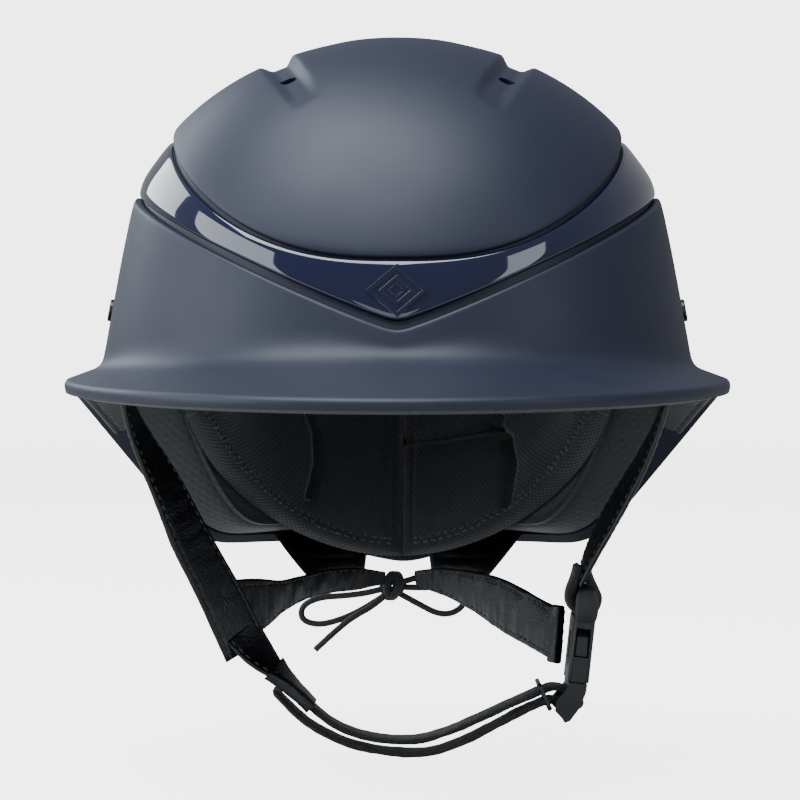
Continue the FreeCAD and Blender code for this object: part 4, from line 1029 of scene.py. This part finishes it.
PAD_OUT = 25.6
PAD_TOP = 34.0
REAR_PAD_LOW = -68.0
REAR_PAD_RISE = 64.0
BROW_PAD_HIGH = 30.0
BROW_CHANNEL_PITCH = 265 / 11
CROWN_PAD_RADIUS = 44.0
CROWN_PAD_DEPTH = 23.75
QUILT = 18.0
HEM_SEAMS = (3.6, 5.2)
LEFT_FOLDS = [[(-34.5, -2.0), (-31.0, -12.0), (-30.4, -24.0), (-33.0, -37.0)]]
RIGHT_FOLDS = [[(0.5, -16.5), (18.0, -14.5), (36.0, -10.5), (38.0, -6.0)],
               [(34.0, -9.0), (41.0, -14.0), (43.0, -24.0), (40.7, -40.0)]]


def rear_pad_low(phi):
    share = np.clip((pi - around_of(phi)) / radians(84), 0, 1)
    return REAR_PAD_LOW + REAR_PAD_RISE * share ** 1.95


def swell(edge, over, power=2.4):
    """How full a pad is, from 0 at its edge to 1 where its face is level."""
    return (1 - np.clip(1 - edge / over, 0, 1) ** power) ** 0.6


def pad_faces(start, stop, low, high, across, tall):
    """A pad's grid: shares across and up it, angles, heights, its back and the way inwards."""
    s = np.linspace(0, 1, across)[None, :]
    t = np.linspace(0, 1, tall)[:, None]
    phi = mix(radians(start), radians(stop), s) + 0 * t
    z = mix(low(phi), high(phi), t)
    return s, t, phi, z, out_of(body, phi, z, -PAD_OUT), -normal(body, phi, z)


def cushion(name, back, face, looks, loose=()):
    piece = make(name, [(back, None, 0), (face, None, 0)], [looks["pad"], looks["thread"]],
                 loose, sharp=85, weld=2e-4)
    return piece


def make_rear_pad(name, start, stop, folds, looks, seed):
    """A full cushion with sewn folds and a bound edge, seen inside the nape."""
    across, tall = 170, 130
    s, t, phi, z, back, inwards = pad_faces(start, stop, rear_pad_low, lambda phi: PAD_TOP,
                                            across, tall)
    run = np.abs(radians(stop - start)) * 82
    from_side = np.minimum(s, 1 - s) * run
    from_end = np.minimum(t, 1 - t) * (PAD_TOP - rear_pad_low(phi))
    edge = np.minimum(from_side, from_end)
    rise = swell(from_side, 16, 2.6) * swell(from_end, 18, 2.6)
    height = 2.2 * np.sqrt(np.clip(edge / 1.6, 0, 1)) + 9.0 * rise
    height = height - 0.9 * np.exp(-((edge - HEM_SEAMS[1]) / 0.9) ** 2)
    front = back + inwards * height[..., None]
    for fold in folds:
        far = line_distance(front[..., 0], front[..., 2], fold)
        behind = front[..., 1] > 30
        height = height - behind * (3.6 * np.exp(-(far / 1.7) ** 2) + 1.9 * np.exp(-(far / 6) ** 2))
    height = height + 0.35 * ripple(phi * 9, z * 0.12, seed) * rise
    height = np.maximum(height, 0.0)
    face = back + inwards * (height + 0.4)[..., None]
    out = grid_normals(face)
    out *= np.sign((out * inwards).sum(-1, keepdims=True))
    loose = []
    for line in HEM_SEAMS:
        loose += hem_stitches(face, out, edge, line, across, tall)
    return cushion(name, back, face, looks, loose)


def hem_stitches(face, out, edge, line, across, tall):
    """Stitches along the lower part of a pad, that far in from its edge."""
    spots = []
    for column in range(2, across - 2):
        rows = np.where(edge[:tall // 2, column] >= line)[0]
        if len(rows):
            spots.append((rows[0], column))
    made = []
    last = None
    for (row, column), (row2, column2) in zip(spots, spots[1:]):
        point = face[row, column]
        if last is not None and np.linalg.norm(point - last) < 2.9:
            continue
        ahead = face[row2, column2] - point
        if np.linalg.norm(ahead) < 1e-6:
            continue
        made.append(stitch(point + out[row, column] * 0.1, ahead, out[row, column], 2.0, 0.3))
        last = point
    return made


def make_brow_pad(looks):
    def low(phi):
        return inner_z(phi) + 1.5

    s, t, _, _, back, inwards = pad_faces(-92, 92, low, lambda phi: low(phi) + BROW_PAD_HIGH,
                                          260, 40)
    edge = np.minimum(np.minimum(s, 1 - s) * 265, np.minimum(t, 1 - t) * BROW_PAD_HIGH)
    height = 4.1 * swell(edge, 6)
    channels = np.exp(-((np.mod(s * 11, 1) - 0.5) * BROW_CHANNEL_PITCH / 1.2) ** 2)
    height = np.maximum(height - 1.3 * channels * (edge > 1), 0)
    face = back + inwards * (height + 0.35)[..., None]
    return cushion("brow_cushion", back, face, looks)


def make_crown_pad(looks):
    """Round quilted cushion under the crown."""
    rings, spokes = 46, 160
    grid_back = np.zeros((rings, spokes + 1, 3))
    grid_face = np.zeros((rings, spokes + 1, 3))
    for i in range(rings):
        radius = CROWN_PAD_RADIUS * (1 - i / (rings - 1)) + 1e-3
        for k in range(spokes + 1):
            angle = 2 * pi * k / spokes
            x, y = radius * sin(angle), -radius * 1.2 * cos(angle)
            point, out = crown_spot(x, y)
            height = 4.6 * swell(max(0.0, CROWN_PAD_RADIUS - radius), 7)
            quilt = max(np.exp(-((v % QUILT - QUILT / 2) / 1.1) ** 2) for v in (x, y))
            height = max(0.0, height - 1.5 * quilt)
            grid_back[i, k] = point - out * CROWN_PAD_DEPTH
            grid_face[i, k] = point - out * (CROWN_PAD_DEPTH + height + 0.3)
    return cushion("crown_cushion", grid_back, grid_face, looks)


TAB_ANGLES = (radians(145), radians(172.5))
TAB_POLES = 7
TAB_HANG = 22.0
TAB_TAPER = 0.4


def make_tab(name, side, looks, seed):
    """Leather tab at the nape, with its eyelet."""
    grid = []
    for i in range(TAB_POLES):
        phi = np.array(mix(*TAB_ANGLES, i / (TAB_POLES - 1)))
        column = [out_of(body, phi, z, -STRAP_DEPTH) for z in (-27.0, -38.0, -49.0)]
        hung = column[-1]
        column += [hung - [0, inwards, drop] for drop, inwards in
                   ((7.0, 2.2), (14.0, 5.0), (TAB_HANG, 7.2))]
        grid.append(column)
    poles = np.array(grid)
    hang = np.clip((poles[:, 2:3, 2] - poles[..., 2]) / TAB_HANG, 0, 1)
    poles[..., 0] += (poles[-1:, :, 0] - poles[..., 0]) * TAB_TAPER * hang
    poles[..., 0] *= side
    wide, tall = 70, 90
    sheet = np.einsum("ai,ijk,bj->abk", basis(TAB_POLES, np.linspace(0, 1, wide)), poles,
                      basis(6, np.linspace(0, 1, tall)))
    out = out_normals(sheet)
    s = np.linspace(-1, 1, wide)[:, None]
    t = np.linspace(-1, 1, tall)[None, :]
    corner = (np.abs(s) ** 5 + np.clip(t, 0, 1) ** 5)
    pull = 1 - 0.10 * np.clip(corner - 0.9, 0, 1)
    centre = sheet[wide // 2:wide // 2 + 1, :]
    sheet = centre + (sheet - centre) * pull[..., None]
    edge = np.clip((1 - np.maximum(np.abs(s), np.abs(t))) * 11, 0, 4)
    thick = 1.1 * np.sqrt(np.clip(edge / 0.9, 0, 1))
    thick = thick - 0.35 * np.exp(-((edge - 2.2) / 0.35) ** 2)
    wave = 0.35 * ripple(s * 3, t * 4, seed)
    front = sheet - out * (thick + 0.02)[..., None] + out * wave[..., None]
    back = sheet + out * (thick + 0.02)[..., None] + out * wave[..., None]
    return make(name, [(front, None, 0), (back, None, 0)], [looks["leather"], looks["thread"]],
                sharp=80, weld=3e-5)


def make_pads(looks):
    keep(make_rear_pad("left_rear_cushion", -97, -181.7, LEFT_FOLDS, looks, 71), "helmet", "pad",
         "rear_pad_left")
    keep(make_rear_pad("right_rear_cushion", 97, 178.5, RIGHT_FOLDS, looks, 81), "helmet", "pad",
         "rear_pad_right")
    keep(make_brow_pad(looks), "helmet", "pad", "brow_pad")
    keep(make_crown_pad(looks), "helmet", "pad", "crown_pad")
    keep(make_tab("left_nape_tab", -1, looks, 91), "helmet", "leather", "nape_tab_left")
    keep(make_tab("right_nape_tab", 1, looks, 95), "helmet", "leather", "nape_tab_right")


# ---- lace
LACE_DIAMETER = 2.5
KNOT = (-2.2, 103.5, -74.5)
CROSSING = [
    (-3.4, 102.4, -73.6), (-8.5, 101.0, -71.3), (-14.0, 102.8, -68.5), (-18.0, 108.6, -65.0),
    (-14.5, 112.6, -61.0), (-6.5, 111.4, -62.8), (2.0, 110.8, -64.2), (10.0, 111.4, -63.0),
    (17.0, 112.6, -60.8), (20.5, 108.6, -64.6), (16.0, 102.8, -68.5), (6.5, 101.0, -71.5),
    (-0.6, 102.4, -73.6)]
LOOP_LEFT = [
    (-3.4, 102.4, -75.0), (-11.0, 102.8, -77.2), (-21.5, 104.0, -78.6), (-31.5, 105.0, -79.2),
    (-38.6, 105.6, -82.6), (-38.9, 106.0, -88.4), (-32.0, 106.0, -90.6), (-23.0, 105.8, -88.4),
    (-12.5, 105.6, -83.4), (-3.2, 105.2, -77.0)]
LOOP_RIGHT = [
    (-0.8, 102.6, -74.8), (8.0, 103.4, -75.4), (17.5, 105.0, -75.0), (25.0, 106.4, -76.6),
    (27.6, 106.6, -81.0), (23.5, 106.4, -85.4), (17.0, 106.0, -86.4), (9.0, 105.6, -82.4),
    (-0.6, 105.4, -77.0)]
TAIL = [
    (-3.0, 102.6, -76.4), (-9.0, 100.6, -82.0), (-17.5, 99.6, -86.4), (-24.6, 99.4, -92.0),
    (-33.0, 99.4, -99.9)]


def make_lace(name, route, looks, node):
    """One stretch of the lace, on a smooth curve through its route."""
    curve = bpy.data.curves.new(name, "CURVE")
    curve.dimensions = "3D"
    spline = curve.splines.new("NURBS")
    spline.points.add(len(route) - 1)
    for point, place in zip(spline.points, route):
        point.co = (*(Vector(place) * MM), 1)
    spline.order_u = 3
    spline.use_endpoint_u = True
    spline.resolution_u = 12
    curve.bevel_depth = LACE_DIAMETER / 2 * MM
    curve.bevel_resolution = 6
    curve.use_fill_caps = True
    curve.materials.append(looks["lace"].material)
    piece = add(name, curve)
    keep(piece, "helmet", "lace", node)
    return piece


def make_knot(looks):
    """The bow's knot: the lace wrapped round itself."""
    form = []
    thick = 1.35
    a = np.linspace(0, 2 * pi, 49)[:, None]
    b = np.linspace(0, 2 * pi, 17)[None, :]
    for radius, tilt, turn in ((3.9, 0.9, 0.0), (4.2, -0.9, 0.5), (3.2, 0.15, 1.6), (1.5, 0, 0)):
        ring = radius + thick * np.cos(b)
        grid = np.stack([ring * np.cos(a), thick * np.sin(b) + 0 * a, ring * np.sin(a) * 1.15], -1)
        spin = np.array([[cos(tilt), -sin(tilt), 0], [sin(tilt), cos(tilt), 0], [0, 0, 1]])
        roll = np.array([[cos(turn), 0, sin(turn)], [0, 1, 0], [-sin(turn), 0, cos(turn)]])
        form.append((grid @ spin.T @ roll.T + np.array(KNOT), None, 0))
    return make("lace_bow_knot", form, [looks["lace"]], sharp=60)


def make_laces(looks):
    knot = keep(make_knot(looks), "helmet", "lace", "lace_knot")
    make_lace("nape_lace", CROSSING, looks, "lace_crossing")
    make_lace("left_bow", LOOP_LEFT, looks, "lace_loop_left")
    make_lace("right_bow", LOOP_RIGHT, looks, "lace_loop_right")
    make_lace("bow_tail", TAIL, looks, "lace_tail")


# ---- the frame's own pieces
def dress(node, look, looks, soften=0.0):
    """Gives a CAD node its material, and small rounded edges."""
    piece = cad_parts[node]
    piece.data.materials.clear()
    piece.data.materials.append(looks[look].material)
    if soften:
        weld = piece.modifiers.new("weld", "WELD")
        weld.merge_threshold = 1e-6
        bevel = piece.modifiers.new("edges", "BEVEL")
        bevel.width = soften * MM
        bevel.segments = 3
        bevel.limit_method = "ANGLE"
        bevel.angle_limit = radians(35)
        bevel.harden_normals = True


looks = make_looks()
make_camera()
make_laces(looks)
make_studio()
make_floor()
keep(make_shell(looks), "helmet", "shell", "outer_shell")
keep(make_band(looks), "helmet", "halo", "halo_band")
keep(make_cover(looks), "helmet", "cover", "liner_cover")
keep(make_peak_lining(looks), "helmet", "cover", "peak_lining")
make_harness(looks)
make_pads(looks)
dress("impact_liner", "foam", looks)
dress("badge", "halo", looks, 0.12)
for part in ("side_rivets", "nape_rivets", "rivet_washers", "strap_keeper"):
    dress(part, "metal", looks)
for part in ("buckle_socket", "buckle_insert", "latch_arm_front", "latch_arm_rear"):
    dress(part, "plastic", looks, 0.5)
